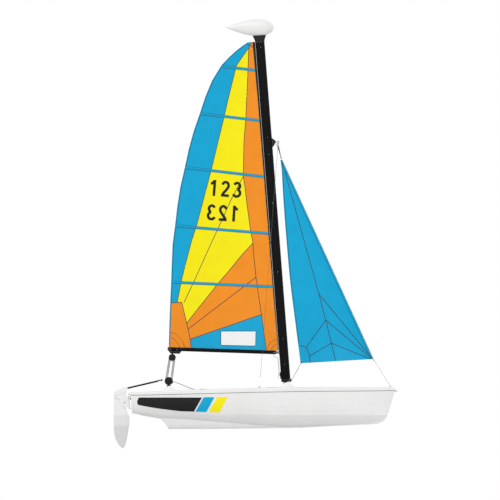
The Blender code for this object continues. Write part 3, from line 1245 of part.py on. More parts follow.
for hull_side in ("port", "starboard"):
    make_hull(hull_side)
    make_deck(hull_side)
    make_rudder(hull_side)
make_beams()
make_trampoline()
make_mast_step()
make_lower_block(make_track_and_car())
make_rigging()
make_mast()
make_float()
make_mast_fittings()
make_boom()
make_mainsail()
for batten in range(1, 6):
    make_batten(batten)
make_jib()
make_crossbar()
make_tail()
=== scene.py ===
"""The looks of a small beach catamaran under sail: cloth, gelcoat, spars, wire and rope, around its frame.

Metres, +X towards the bows, +Y to port, +Z up, the water at Z = 0. Heights in the outlines below are above
the bottom of the skegs, and up() turns them into Z.
"""

import math

import bmesh
import bpy
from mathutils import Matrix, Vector
from mathutils.bvhtree import BVHTree
from mathutils.geometry import delaunay_2d_cdt
from mathutils.kdtree import KDTree


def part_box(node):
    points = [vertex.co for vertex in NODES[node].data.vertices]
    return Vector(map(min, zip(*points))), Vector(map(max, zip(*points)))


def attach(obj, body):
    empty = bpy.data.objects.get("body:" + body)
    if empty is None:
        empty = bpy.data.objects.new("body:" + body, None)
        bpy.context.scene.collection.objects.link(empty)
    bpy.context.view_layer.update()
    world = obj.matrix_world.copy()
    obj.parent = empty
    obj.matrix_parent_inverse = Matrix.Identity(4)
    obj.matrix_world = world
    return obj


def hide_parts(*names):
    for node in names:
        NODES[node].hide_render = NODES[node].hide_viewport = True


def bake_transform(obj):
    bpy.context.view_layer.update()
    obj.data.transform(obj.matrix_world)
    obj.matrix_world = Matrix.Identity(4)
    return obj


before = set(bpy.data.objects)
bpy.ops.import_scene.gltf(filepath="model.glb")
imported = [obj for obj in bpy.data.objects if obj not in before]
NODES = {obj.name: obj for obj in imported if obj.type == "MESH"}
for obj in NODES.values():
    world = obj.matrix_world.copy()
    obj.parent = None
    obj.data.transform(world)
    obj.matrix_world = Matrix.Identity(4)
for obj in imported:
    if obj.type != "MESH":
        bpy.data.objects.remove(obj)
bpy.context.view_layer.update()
DRAFT = -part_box("hull_port")[0].z
SIDES = {"port": 1, "starboard": -1}
HULL_MIDDLE = {side: (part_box("hull_" + side)[0].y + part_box("hull_" + side)[1].y) / 2 for side in SIDES}

# Camera: a side view from starboard, square to the boat
VIEW_WIDTH = 7.233
VIEW_MIDDLE = (-0.188, 2.589)
CAMERA_AWAY = 12.0
FLOOR_HALF = 40.0

# Colours, as linear light
WHITE = (0.86, 0.86, 0.855)
BLUE = (0.0, 0.40, 0.70)
YELLOW = (1.0, 0.87, 0.0)
ORANGE = (0.93, 0.29, 0.012)
BLACK = (0.008, 0.008, 0.009)
STEEL = (0.60, 0.61, 0.62)

# Light: the room's level on the boat, and the suns' names, directions and strengths
ROOM_LIGHT = 0.62
LAMPS = (("key", (0.30, 1.0, -0.75), 1.20), ("fill", (-0.9, -0.25, -0.5), 0.30))
LAMP_ANGLE = 25.0

# Textures: where noise mostly lies, and the wave texture's scale for one wave a metre
NOISE_LOW = 0.3
NOISE_HIGH = 0.7
WAVES_PER_METRE = 0.314

# Cloth
CLOTH_THICKNESS = 0.0016
CLOTH_SPACING = 0.030
SMOOTHING_STEPS = 10
SEAM_WIDTH = 0.010
SEAM_LIFT = 0.0005
HEM_WIDTH = 0.018
POCKET_WIDTH = 0.036
POCKET_LIFT = 0.0046
POCKET_EDGE = 0.0008
STITCH_WIDTH = 0.005
STITCH_LIFT = 0.0012
PATCH_LIFT = 0.0007
TAPE_BITE = 0.0004

# Panels of the mainsail, (x, height)
HEAD_CORNER = [(-0.140, 5.640), (-0.205, 5.517)]
BLUE_EDGE = [(-0.205, 5.517), (-0.385, 5.258), (-0.508, 4.759), (-0.574, 4.470), (-0.746, 3.761),
             (-0.958, 2.951), (-1.030, 2.734), (-1.107, 2.444), (-1.179, 2.155), (-1.241, 1.829)]
ORANGE_EDGE = [(-0.205, 5.517), (-0.223, 5.048), (-0.250, 4.470), (-0.275, 4.180), (-0.285, 3.703),
               (-0.286, 3.654), (-0.266, 3.534), (-0.218, 3.150), (-0.178, 2.857), (-0.145, 2.690)]
DIAGONAL = [(-0.145, 2.690), (-0.289, 2.538), (-0.477, 2.307), (-0.644, 2.113), (-1.104, 1.532)]
CLEW_TOP = [(-1.400, 1.820), (-1.241, 1.829), (-1.175, 1.835)]
CLEW_SIDE = [(-1.175, 1.835), (-1.104, 1.532), (-1.053, 1.299), (-1.037, 1.150)]
FOOT_EDGE = [(-1.053, 1.299), (-0.023, 1.655)]
LUFF_SEAM = [(-0.145, 2.690), (-0.135, 2.517), (-0.101, 2.195), (-0.023, 1.655), (0.054, 1.090)]
YELLOW_SEAM = [(-0.286, 3.654), (-0.456, 3.327), (-0.654, 2.893), (-0.787, 2.605), (-0.998, 2.136),
               (-1.141, 1.832)]
ORANGE_SEAM = [(-0.101, 2.195), (-1.086, 1.443)]
HEADBOARD_SEAM = [(-0.234, 5.573), (-0.128, 5.510)]
LUFF_BAND = [(-0.152, 5.640), (-0.072, 4.759), (0.043, 3.312), (0.159, 1.866), (0.217, 1.215), (0.226, 1.060)]
WINDOW = [(-0.610, 1.416), (-0.101, 1.416), (-0.106, 1.199), (-0.610, 1.210)]

# Panels of the jib
JIB_HEAD = (0.262, 3.921)
JIB_TACK = (1.600, 0.995)
JIB_MIDDLE = [(0.809, 1.951), (0.907, 1.576), (0.989, 1.241)]
JIB_FOOT = (1.062, 0.940)
JIB_RIBS = [[(0.907, 1.576), (0.628, 1.184)], [(0.989, 1.241), (0.674, 1.054)]]
JIB_CLEW_SEAM = [(0.500, 1.215), (0.628, 1.184), (0.674, 1.054), (0.687, 0.940)]

# Figures on the mainsail: foot line from aft to forward, and how tall they are
FIGURES = "123"
FIGURE_HEIGHT = 0.232
FIGURE_STROKE = 0.040
FIGURE_LIFT = 0.0004
UPPER_ROW = [(-0.787, 3.377), (-0.275, 3.337)]
LOWER_ROW = [(-0.820, 3.023), (-0.311, 2.993)]

# Stripes on the topsides, (x, height)
STRIPES = {
    "black": [(-1.797, 0.455), (-0.882, 0.455), (-1.000, 0.250), (-1.201, 0.257), (-1.345, 0.274),
              (-1.490, 0.292), (-1.635, 0.315), (-1.779, 0.342), (-1.815, 0.354), (-1.822, 0.400)],
    "blue": [(-0.857, 0.460), (-0.700, 0.460), (-0.819, 0.245), (-0.976, 0.250)],
    "yellow": [(-0.664, 0.462), (-0.508, 0.465), (-0.631, 0.237), (-0.785, 0.245)],
}
STRIPE_LIFT = 0.0012
STRIPE_SPACING = 0.010

# Rope. The mainsheet's tail runs in the boat's middle plane, then turns aside into its coil
ROPE_DIAMETER = 0.008
JIB_SHEET_DIAMETER = 0.006
TAIL_POINTS = [(-1.290, 0.684), (-1.255, 0.672), (-1.200, 0.650), (-1.140, 0.626), (-1.080, 0.602),
               (-1.030, 0.583), (-0.985, 0.567)]
TAIL_ASIDE = [(-0.950, 0.004), (-0.920, 0.0185)]
COIL_MIDDLE = (-0.860, 0.0)
COIL_OUTER = 0.057
COIL_ROWS = 4
COIL_LAYERS = 3
COIL_PITCH = 0.0082
COIL_LAYER = 0.0084
COIL_BULGE = 0.006
COIL_POINTS = 24
COIL_START = 130.0

# Blocks, (x, z), with the distance of the rope's middle from each pin
UPPER_BLOCK = (-1.3131, 0.8347)
LOWER_BLOCK = (-1.364, 0.4926)
UPPER_LEAD = 0.0435
LOWER_LEAD = 0.0496
SHEAVE_PITCH = 0.019
FALL_STUB = 0.070
JIB_CLEW_HEIGHT = 0.978
JIB_BLOCK = (0.390, 0.505)
JIB_BLOCK_Y = 0.22
JIB_STRAP_Y = 0.0108
JIB_SHEAVE = 0.0215
JIB_LEAD = [(0.352, 0.4815), (0.318, 0.4795), (0.290, 0.4770)]
JIB_CLEAT = ((0.294, -0.021), (0.342, -0.021), (0.342, 0.021), (0.294, 0.021))
JIB_CLEAT_Z = (0.4520, 0.4700)
RUDDER_BOLT = (-2.004, 0.183)

# Downhaul and tack hook, (x, height), the halyard's upper ends, (x, y), and the wires
DOWNHAUL = [(0.213, 1.030), (0.2335, 0.836)]
DOWNHAUL_RADIUS = 0.0034
DOWNHAUL_TAIL_RADIUS = 0.0025
TACK_HOOK = [(0.150, 1.078), (0.162, 1.052), (0.188, 1.036), (0.2045, 1.032)]
TACK_HOOK_RADIUS = 0.0030
HALYARD_HEIGHT = 4.122
HALYARD_RADIUS = 0.0040
HALYARD_ENDS = [(0.198, 0.011), (0.210, -0.011)]
WIRE_RADIUS = 0.0022
SWAGE = [(0.000, 1.2), (0.002, 2.1), (0.034, 2.1), (0.042, 1.15)]
SWAGE_BACK = 0.004
ADJUSTER_LENGTH = 0.118
ADJUSTER_FOOT = 0.030
ADJUSTER_HOLES = (0.012, 0.030, 0.048, 0.066, 0.084, 0.104)

# Turned fittings, (distance along the axis, radius)
BLOCK_PIN = [(-0.001, 0.0075), (0.0020, 0.0075), (0.0032, 0.0055)]
JIB_BLOCK_FORM = [(-0.009, 0.010), (-0.009, 0.023), (-0.0065, 0.025), (-0.004, 0.0235), (0.0, 0.018),
                  (0.004, 0.0235), (0.0065, 0.025), (0.009, 0.023), (0.009, 0.010)]
JIB_CAM = [(0.0, 0.0100), (0.0100, 0.0100), (0.0120, 0.0085)]
RUDDER_NUT = [(-0.002, 0.0125), (0.0016, 0.0125), (0.0018, 0.0080), (0.0060, 0.0080), (0.0072, 0.0060)]
DRAIN_PLUG = [(-0.001, 0.019), (0.004, 0.019), (0.006, 0.016), (0.006, 0.010), (0.011, 0.009), (0.012, 0.007)]
HATCH_RIM = [(-0.003, 0.066), (0.0022, 0.066), (0.0042, 0.062), (0.0042, 0.0545), (0.0030, 0.0535)]
HATCH_LID = [(-0.002, 0.0520), (0.0036, 0.0520), (0.0052, 0.0500), (0.0052, 0.0330), (0.0040, 0.0315),
             (0.0040, 0.0002)]
HATCH_RIB = (0.036, 0.048)
CASTING_BOLTS = [(-1.958, 0.118), (-1.958, 0.258)]
BEAM_BOLTS = (0.885, 0.965)
DRAIN_HEIGHT = 0.440
MAST_RIVETS = (0.25, 0.62, 1.6, 2.6, 3.30, 3.55, 4.85)
BOOM_RIVETS = (-0.030, -0.060, -1.40, -1.46, -1.55, -1.575)
MAST_RIVET_Y = 0.0370
BOOM_RIVET_Y = 0.0218
GRIP_LENGTH = 0.2200
GRIP_RIBS = 18

# Eyes in the mainsail: (x, height, radius) in its corners, and the heights of those along the luff
CORNER_EYES = [(-1.362, 1.172, 0.014), (0.170, 1.130, 0.013), (-0.178, 5.602, 0.010)]
LUFF_EYES = (1.42, 1.78)

# Spars, (x, z), and how far their own upright leans aft in degrees
MAST_FOOT = (0.333, 0.482)
MAST_LEAN = 4.40
BOOM_HINGE = (0.21511, 0.90621)
BOOM_TILT = -1.88

# Trampoline and decks
NET_THICKNESS = 0.002
EDGE_WEBBING = 0.038
STRAP_Y = 0.30
STRAP_WIDTH = 0.050
STRAP_RISE = 0.016
STRAP_STEPS = 48
NET_SEAM_Y = 0.62
NET_ROWS = 40
NET_COLUMNS = 44
EYES_A_SIDE = 12
EYE_PITCH = 0.06
EYE_INSET = 0.017
EYE_RADIUS = 0.0075
HATCH_X = 0.120
SCUFF_TOP = -0.120
SCUFF_FADE = 0.07
SCUFF_SHADE = 0.72
BEAD_RADIUS = 0.0040
BEAD_END = 1.935


def up(height):
    return height - DRAFT


def raised(points):
    """Outline points with their heights turned into Z."""
    return [(x, up(h)) for x, h in points]


def in_plane(point, y=0.0):
    """An (x, z) point, this far to port."""
    return Vector((point[0], y, point[1]))


def arc(middle, across, rise, start, end, steps):
    """Points along an ellipse, between two angles in degrees."""
    angles = [math.radians(start + (end - start) * i / steps) for i in range(steps + 1)]
    return [(middle[0] + across * math.cos(a), middle[1] + rise * math.sin(a)) for a in angles]


# Camera, floor and light

def make_camera():
    """A view without perspective, as in the drawing."""
    data = bpy.data.cameras.new("camera")
    data.type = "ORTHO"
    data.ortho_scale = VIEW_WIDTH
    data.clip_end = 60.0
    camera = bpy.data.objects.new("camera", data)
    camera.location = (VIEW_MIDDLE[0], -CAMERA_AWAY, up(VIEW_MIDDLE[1]))
    camera.rotation_euler = (math.radians(90), 0.0, 0.0)
    bpy.context.scene.collection.objects.link(camera)
    bpy.context.scene.camera = camera


def make_floor():
    """A pale plain at the waterline. It takes shadows and throws none on the hulls below it."""
    mesh = bmesh.new()
    corners = ((-1, -1), (1, -1), (1, 1), (-1, 1))
    mesh.faces.new([mesh.verts.new((x * FLOOR_HALF, y * FLOOR_HALF, 0.0)) for x, y in corners])
    data = bpy.data.meshes.new("floor")
    mesh.to_mesh(data)
    mesh.free()
    floor = bpy.data.objects.new("floor", data)
    floor.visible_shadow = False
    bpy.context.scene.collection.objects.link(floor)
    look, tree, shader = new_material("floor_paint")
    fill(tree, shader, {"Base Color": (0.80, 0.80, 0.80, 1.0), "Roughness": 0.9})
    data.materials.append(look)


def make_light():
    """A white room that is brighter to the eye and in reflections than on the boat, and two soft suns."""
    bpy.context.scene.view_settings.view_transform = "Standard"
    world = bpy.data.worlds.new("studio")
    world.use_nodes = True
    tree = world.node_tree
    rays = add(tree, "LightPath").outputs
    seen = paired(tree, "MAXIMUM", rays["Is Camera Ray"], rays["Is Glossy Ray"])
    seen = paired(tree, "MAXIMUM", seen, rays["Is Transmission Ray"])
    fill(tree, tree.nodes["Background"], {"Color": (1.0, 1.0, 1.0, 1.0),
                                          "Strength": ranged(tree, seen, ROOM_LIGHT, 1.0)})
    bpy.context.scene.world = world
    for name, aim, strength in LAMPS:
        lamp = bpy.data.lights.new(name, "SUN")
        lamp.energy = strength
        lamp.angle = math.radians(LAMP_ANGLE)
        obj = bpy.data.objects.new(name, lamp)
        obj.rotation_euler = Vector(aim).to_track_quat("-Z", "Y").to_euler()
        bpy.context.scene.collection.objects.link(obj)


# Materials

def fill(tree, node, inputs):
    """Give each named input its value, or a link where the value is a socket."""
    for key, value in inputs.items():
        if isinstance(value, bpy.types.NodeSocket):
            tree.links.new(value, node.inputs[key])
        else:
            node.inputs[key].default_value = value


def add(tree, kind, inputs=None, **settings):
    """A new shader node with these settings and inputs."""
    node = tree.nodes.new("ShaderNode" + kind)
    for name, value in settings.items():
        setattr(node, name, value)
    fill(tree, node, inputs or {})
    return node


def paired(tree, operation, one, other):
    return add(tree, "Math", {0: one, 1: other}, operation=operation).outputs[0]


def ranged(tree, value, low, high, start=0.0, stop=1.0):
    """The value's range from start to stop, mapped to low and high."""
    return add(tree, "MapRange", {"Value": value, "From Min": start, "From Max": stop, "To Min": low,
                                  "To Max": high}).outputs["Result"]


def own_place(tree):
    """The piece's own metres."""
    return add(tree, "TexCoord").outputs["Object"]


def new_material(name):
    look = bpy.data.materials.new(name)
    look.use_nodes = True
    return look, look.node_tree, look.node_tree.nodes["Principled BSDF"]


def noise(tree, scale, detail, stretch=(1.0, 1.0, 1.0)):
    """Noise in the piece's own metres, optionally drawn out along an axis."""
    drawn = add(tree, "Mapping", {"Vector": own_place(tree), "Scale": stretch}).outputs["Vector"]
    return add(tree, "TexNoise", {"Vector": drawn, "Scale": scale, "Detail": detail}).outputs["Fac"]


def wave(tree, place, scale, direction="DIAGONAL"):
    return add(tree, "TexWave", {"Vector": place, "Scale": scale}, bands_direction=direction).outputs["Fac"]


def weave(tree, pitch, axes=("X", "Z")):
    """Over-and-under threads at this pitch along two axes, as one height."""
    place = own_place(tree)
    return paired(tree, "MULTIPLY", *[wave(tree, place, WAVES_PER_METRE / pitch, axis) for axis in axes])


def ramp(tree, height, *stops):
    """Colours by height, from (position, colour) stops."""
    made = add(tree, "ValToRGB", {"Fac": height})
    elements = made.color_ramp.elements
    for i, (position, color) in enumerate(stops):
        element = elements[i] if i < 2 else elements.new(position)
        element.position = position
        element.color = (*color, 1.0)
    return made.outputs["Color"]


def tint(tree, shader, color, height, share):
    """Base colour that swings by this share of itself with the height."""
    low = [c * (1 - share) for c in color]
    high = [min(1.0, c * (1 + share)) for c in color]
    fill(tree, shader, {"Base Color": ramp(tree, height, (NOISE_LOW, low), (NOISE_HIGH, high))})


def spread(tree, height, low, high, socket):
    """Drive a socket between two values."""
    tree.links.new(ranged(tree, height, low, high, NOISE_LOW, NOISE_HIGH), socket)


def relief(tree, shader, heights):
    """Stack bumps, each a (height, distance) pair."""
    below = {}
    for height, distance in heights:
        bump = add(tree, "Bump", {"Distance": distance, "Strength": 1.0, "Height": height, **below})
        below = {"Normal": bump.outputs["Normal"]}
    fill(tree, shader, below)


def surface(name, color, dye, rough, bumps, inputs):
    """A look from noises, each (scale, detail) or (scale, detail, stretch).

    dye is (noise, share), rough is (noise, low, high), and each bump is (noise, distance).
    """
    look, tree, shader = new_material(name)
    tint(tree, shader, color, noise(tree, *dye[0]), dye[1])
    spread(tree, noise(tree, *rough[0]), rough[1], rough[2], shader.inputs["Roughness"])
    relief(tree, shader, [(noise(tree, *shape), distance) for shape, distance in bumps])
    fill(tree, shader, inputs)
    return look


def gelcoat(name):
    """Polished gelcoat, with a soft shift in its white and sand scuffs towards the bottom of the skegs."""
    look, tree, shader = new_material(name)
    height = add(tree, "SeparateXYZ", {"Vector": own_place(tree)}).outputs["Z"]
    low = ranged(tree, height, 0.0, 1.0, SCUFF_TOP, SCUFF_TOP - SCUFF_FADE)
    worn = paired(tree, "MULTIPLY", low, noise(tree, 60.0, 6.0, (0.12, 1.0, 1.0)))
    tint(tree, shader, WHITE, noise(tree, 2.0, 4.0), 0.025)
    shade = add(tree, "Mix", {"A": shader.inputs["Base Color"].links[0].from_socket,
                              "B": (*[c * SCUFF_SHADE for c in WHITE], 1.0), "Factor": worn},
                data_type="RGBA")
    spread(tree, noise(tree, 5.0, 5.0), 0.16, 0.30, shader.inputs["Roughness"])
    fill(tree, shader, {"Base Color": shade.outputs["Result"], "Coat Weight": 0.35, "Coat Roughness": 0.08})
    relief(tree, shader, [(noise(tree, 3.0, 1.0), 0.002), (worn, 0.0006), (noise(tree, 240.0, 2.0), 0.00008)])
    return look


def deck_paint(name):
    """Gelcoat whose level parts carry a moulded non-slip grain."""
    look, tree, shader = new_material(name)
    tint(tree, shader, WHITE, noise(tree, 3.0, 4.0), 0.03)
    grain = add(tree, "TexVoronoi", {"Vector": own_place(tree), "Scale": 160.0}).outputs["Distance"]
    facing = add(tree, "NewGeometry").outputs["Normal"]
    level = ranged(tree, add(tree, "SeparateXYZ", {"Vector": facing}).outputs["Z"], 0.0, 1.0, 0.93, 0.97)
    fill(tree, shader, {"Roughness": ranged(tree, level, 0.42, 0.60)})
    relief(tree, shader, [(noise(tree, 4.0, 1.0), 0.0015), (paired(tree, "MULTIPLY", level, grain), 0.0009)])
    return look


def anodised(name, stretch=(1.0, 1.0, 0.04)):
    """Drawn aluminium tube: fine streaks along its length and a few scuffs."""
    streaks = (180.0, 3.0, stretch)
    return surface(name, BLACK, (streaks, 0.30), ((14.0, 5.0), 0.34, 0.50), [(streaks, 0.00006)],
                   {"Metallic": 0.92})


def cast_paint(name):
    return surface(name, WHITE, ((9.0, 4.0), 0.03), ((30.0, 4.0), 0.34, 0.50), [((420.0, 2.0), 0.00025)], {})


def moulded(name, color=BLACK, share=0.25):
    return surface(name, color, ((25.0, 4.0), share), ((60.0, 3.0), 0.38, 0.55), [((700.0, 2.0), 0.00015)],
                   {"Specular IOR Level": 0.28})


def stainless(name):
    return surface(name, STEEL, ((40.0, 3.0), 0.10), ((120.0, 4.0), 0.18, 0.34),
                   [((500.0, 2.0, (1.0, 1.0, 0.1)), 0.00004)], {"Metallic": 1.0})


def clear_vinyl(name):
    return surface(name, (0.90, 0.91, 0.91), ((8.0, 3.0), 0.02), ((12.0, 3.0), 0.06, 0.16),
                   [((4.0, 1.0), 0.006)], {"Alpha": 0.35})


def sailcloth(name, color):
    """Woven polyester: a fine weave, slow folds, and colour that shifts a little with the dye."""
    look, tree, shader = new_material(name)
    tint(tree, shader, color, noise(tree, 5.0, 5.0), 0.035)
    spread(tree, noise(tree, 20.0, 3.0), 0.46, 0.60, shader.inputs["Roughness"])
    fill(tree, shader, {"Specular IOR Level": 0.22, "Sheen Weight": 0.06, "Sheen Roughness": 0.5})
    relief(tree, shader, [(noise(tree, 1.6, 2.0, (1.0, 1.0, 0.45)), 0.010), (weave(tree, 0.0022), 0.00012)])
    return look


def mesh_cloth(name):
    """Open woven polyester net, coated black, with painted highlights on the crowns of its threads and
    painted shade between them.
    """
    look, tree, shader = new_material(name)
    threads = weave(tree, 0.0045, ("X", "Y"))
    # Painted highlight and painted shade: the base colour is lighter on the thread crowns and darker between
    # the threads, from the same weave as the bumps.
    tint(tree, shader, (0.022, 0.022, 0.024), threads, 0.7)
    spread(tree, noise(tree, 12.0, 4.0), 0.55, 0.75, shader.inputs["Roughness"])
    relief(tree, shader, [(noise(tree, 2.5, 2.0), 0.004), (threads, 0.0009)])
    return look


def webbing(name, color=BLACK):
    look, tree, shader = new_material(name)
    ribs = weave(tree, 0.0030, ("X", "Y"))
    # Painted shade and painted highlight: the base colour is darker between the ribs and lighter on their
    # crowns, from the same weave as the bumps.
    tint(tree, shader, color, ribs, 0.5)
    fill(tree, shader, {"Roughness": 0.8, "Sheen Weight": 0.1})
    relief(tree, shader, [(ribs, 0.0006)])
    return look


def braid(name, color, fleck):
    """Plaited cover: strands that cross at a slant, drawn by the rope's own length and turn."""
    look, tree, shader = new_material(name)
    place = add(tree, "UVMap", uv_map="along").outputs["UV"]
    slants = [add(tree, "Mapping", {"Vector": place, "Scale": (280.0, turn, 1.0)}).outputs["Vector"]
              for turn in (6.0, -6.0)]
    both = paired(tree, "MULTIPLY", *[wave(tree, slant, WAVES_PER_METRE) for slant in slants])
    # Painted shade: the grooves between the strands take 0.6 of the rope's colour. The fleck colour sits
    # where the strands cross highest.
    colors = ramp(tree, both, (0.1, [c * 0.6 for c in color]), (0.5, color), (0.93, fleck))
    fill(tree, shader, {"Base Color": colors, "Roughness": 0.75, "Sheen Weight": 0.2})
    relief(tree, shader, [(both, 0.0008)])
    return look


def wire_lay(name):
    """Stainless strand: fine slanted grooves."""
    look, tree, shader = new_material(name)
    grooves = wave(tree, own_place(tree), 70.0)
    # Painted shade and painted highlight: the base colour is darker in the grooves and lighter on the
    # strands, from the same waves as the bumps.
    tint(tree, shader, (0.11, 0.115, 0.12), grooves, 0.35)
    fill(tree, shader, {"Metallic": 0.9, "Roughness": 0.32})
    relief(tree, shader, [(grooves, 0.0004)])
    return look


# Mesh helpers

def put(mesh, name, body, looks, sharp):
    """Make an object of a finished mesh, smooth but for edges sharper than this, and let it ride."""
    bmesh.ops.recalc_face_normals(mesh, faces=mesh.faces)
    data = bpy.data.meshes.new(name)
    mesh.to_mesh(data)
    mesh.free()
    for look in looks:
        data.materials.append(LOOKS[look])
    data.shade_smooth()
    data.set_sharp_from_angle(angle=math.radians(sharp))
    obj = bpy.data.objects.new(name, data)
    bpy.context.scene.collection.objects.link(obj)
    if body is not None:
        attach(obj, body)
    return obj


def circle(middle, first, second, radius, sides):
    return [middle + radius * (math.cos(a) * first + math.sin(a) * second)
            for a in (2 * math.pi * k / sides for k in range(sides))]


def axes_of(axis):
    """The axis at unit length, and two directions square to it and to each other."""
    along = Vector(axis).normalized()
    first = along.orthogonal().normalized()
    return along, first, along.cross(first)


class Piece:
    """A mesh under construction, from closed solids."""

    def __init__(self):
        self.mesh = bmesh.new()
        self.along = self.mesh.loops.layers.uv.new("along")

    def loft(self, rings):
        """Skin rings of equally many points, and cap both ends."""
        rows = [[self.mesh.verts.new(p) for p in ring] for ring in rings]
        count = len(rows[0])
        travelled = 0.0
        for r, (lower, upper) in enumerate(zip(rows, rows[1:])):
            step = (Vector(rings[r + 1][0]) - Vector(rings[r][0])).length
            for i in range(count):
                j = (i + 1) % count
                face = self.mesh.faces.new((lower[i], lower[j], upper[j], upper[i]))
                places = ((travelled, i), (travelled, i + 1), (travelled + step, i + 1),
                          (travelled + step, i))
                for loop, (u, v) in zip(face.loops, places):
                    loop[self.along].uv = (u, v / count)
            travelled += step
        for ring in (rows[0][::-1], rows[-1]):
            self.mesh.faces.new(ring)
        return self

    def tube(self, path, radius, sides=10):
        """A round bar along the points."""
        points = [Vector(p) for p in path]
        rings = []
        normal = None
        for i, point in enumerate(points):
            ahead = points[min(i + 1, len(points) - 1)]
            behind = points[max(i - 1, 0)]
            along = (ahead - behind).normalized()
            if normal is None:
                normal = along.orthogonal().normalized()
            normal = (normal - along * normal.dot(along)).normalized()
            rings.append(circle(point, normal, along.cross(normal), radius, sides))
        return self.loft(rings)

    def slab(self, grid, thickness):
        """A thin plate under a grid of points, closed round its edge."""
        tops = [[self.mesh.verts.new(p) for p in row] for row in grid]
        feet = [[self.mesh.verts.new(p - Vector((0, 0, thickness))) for p in row] for row in grid]
        rows, columns = len(grid) - 1, len(grid[0]) - 1
        for i in range(rows):
            for k in range(columns):
                self.mesh.faces.new((tops[i][k], tops[i + 1][k], tops[i + 1][k + 1], tops[i][k + 1]))
                self.mesh.faces.new((feet[i][k], feet[i][k + 1], feet[i + 1][k + 1], feet[i + 1][k]))
        rim = [(i, 0) for i in range(rows)] + [(rows, k) for k in range(columns)]
        rim += [(i, columns) for i in range(rows, 0, -1)] + [(0, k) for k in range(columns, 0, -1)]
        for (i, k), (n, m) in zip(rim, rim[1:] + rim[:1]):
            self.mesh.faces.new((tops[i][k], feet[i][k], feet[n][m], tops[n][m]))
        return self

    def turned(self, profile, centre, axis, sides=24):
        """A body turned from (distance along the axis, radius) points."""
        along, first, second = axes_of(axis)
        return self.loft([circle(Vector(centre) + along * distance, first, second, radius, sides)
                          for distance, radius in profile])

    def ring(self, centre, axis, radius, wire, sides=24, around=8):
        """A closed round link."""
        along, first, second = axes_of(axis)
        rows = []
        for i in range(sides):
            a = 2 * math.pi * i / sides
            out = math.cos(a) * first + math.sin(a) * second
            middle = Vector(centre) + radius * out
            rows.append([self.mesh.verts.new(p) for p in circle(middle, out, along, wire, around)])
        for i in range(sides):
            for k in range(around):
                n, m = (i + 1) % sides, (k + 1) % around
                self.mesh.faces.new((rows[i][k], rows[n][k], rows[n][m], rows[i][m]))
        return self

    def finish(self, name, body, slot, look, sharp=40.0):
        return put(self.mesh, name, body, [look], sharp)


def densified(points, spacing, closed=False):
    """The same line with points no further apart than the spacing."""
    ends = list(points) + ([points[0]] if closed else [])
    made = []
    for (x1, z1), (x2, z2) in zip(ends, ends[1:]):
        steps = max(1, math.ceil(math.hypot(x2 - x1, z2 - z1) / spacing))
        made += [(x1 + (x2 - x1) * i / steps, z1 + (z2 - z1) * i / steps) for i in range(steps)]
    return made if closed else made + [ends[-1]]


def inside(point, polygon):
    x, z = point
    found = False
    for (x1, z1), (x2, z2) in zip(polygon, polygon[1:] + polygon[:1]):
        if (z1 > z) != (z2 > z) and x < x1 + (x2 - x1) * (z - z1) / (z2 - z1):
            found = not found
    return found


def cut_flat(outline, lines, spacing):
    """Triangles of an outline in side view, with edges along each of the lines."""
    points = []
    edges = []
    for line, closed in [(outline, True)] + [(line, False) for line in lines]:
        dense = densified(line, spacing, closed)
        first = len(points)
        points += dense
        count = len(dense)
        edges += [(first + i, first + (i + 1) % count) for i in range(count if closed else count - 1)]
    near = KDTree(len(points))
    for i, (x, z) in enumerate(points):
        near.insert((x, z, 0.0), i)
    near.balance()
    xs = [x for x, z in outline]
    zs = [z for x, z in outline]
    row = 0
    z = min(zs)
    while z < max(zs):
        x = min(xs) + (row % 2) * spacing / 2
        while x < max(xs):
            if inside((x, z), outline) and near.find((x, z, 0.0))[2] > spacing * 0.55:
                points.append((x, z))
            x += spacing
        z += spacing * 0.866
        row += 1
    found = delaunay_2d_cdt([Vector(p) for p in points], edges, [], 0, 1e-6)
    flat = [(p.x, p.y) for p in found[0]]
    kept = []
    for face in found[2]:
        middle = tuple(sum(flat[i][k] for i in face) / 3 for k in (0, 1))
        if inside(middle, outline):
            kept.append((tuple(face), middle))
    return flat, kept


def edge_uses(faces):
    """How many of the triangles use each edge."""
    uses = {}
    for face, _ in faces:
        for a, b in zip(face, face[1:] + face[:1]):
            edge = (min(a, b), max(a, b))
            uses[edge] = uses.get(edge, 0) + 1
    return uses


def two_sided(faces, near, far, look_of=lambda middle: 0):
    """A closed thin sheet of triangles between two layers, each given as a point's place by number."""
    mesh = bmesh.new()
    used = sorted({i for face, _ in faces for i in face})
    layers = [{i: mesh.verts.new(place(i)) for i in used} for place in (near, far)]
    owner = {}
    for face, middle in faces:
        look = look_of(middle)
        mesh.faces.new([layers[0][i] for i in face]).material_index = look
        mesh.faces.new([layers[1][i] for i in face[::-1]]).material_index = look
        for a, b in zip(face, face[1:] + face[:1]):
            owner[(min(a, b), max(a, b))] = look
    for (a, b), uses in edge_uses(faces).items():
        if uses == 1:
            wall = mesh.faces.new((layers[0][a], layers[0][b], layers[1][b], layers[1][a]))
            wall.material_index = owner[(a, b)]
    return mesh


def solid_tree(node):
    data = NODES[node].data
    return BVHTree.FromPolygons([v.co for v in data.vertices], [p.vertices for p in data.polygons])


def read_line(pairs, at):
    """The second number on a line of pairs, where the first one is at this value."""
    line = sorted(pairs)
    for (a1, b1), (a2, b2) in zip(line, line[1:]):
        if a1 <= at <= a2 and a2 > a1:
            return b1 + (b2 - b1) * (at - a1) / (a2 - a1)
    return line[0][1] if at < line[0][0] else line[-1][1]


def crossings_at(outline, z):
    """Where an outline crosses this height."""
    return [x1 + (x2 - x1) * (z - z1) / (z2 - z1)
            for (x1, z1), (x2, z2) in zip(outline, outline[1:] + outline[:1]) if (z1 > z) != (z2 > z)]


def trimmed(line, outline):
    """The part of a line that lies inside the outline."""
    kept = [p for p in densified(line, 0.01) if inside(p, outline)]
    return [kept[0]] + kept[3:-3:3] + [kept[-1]]


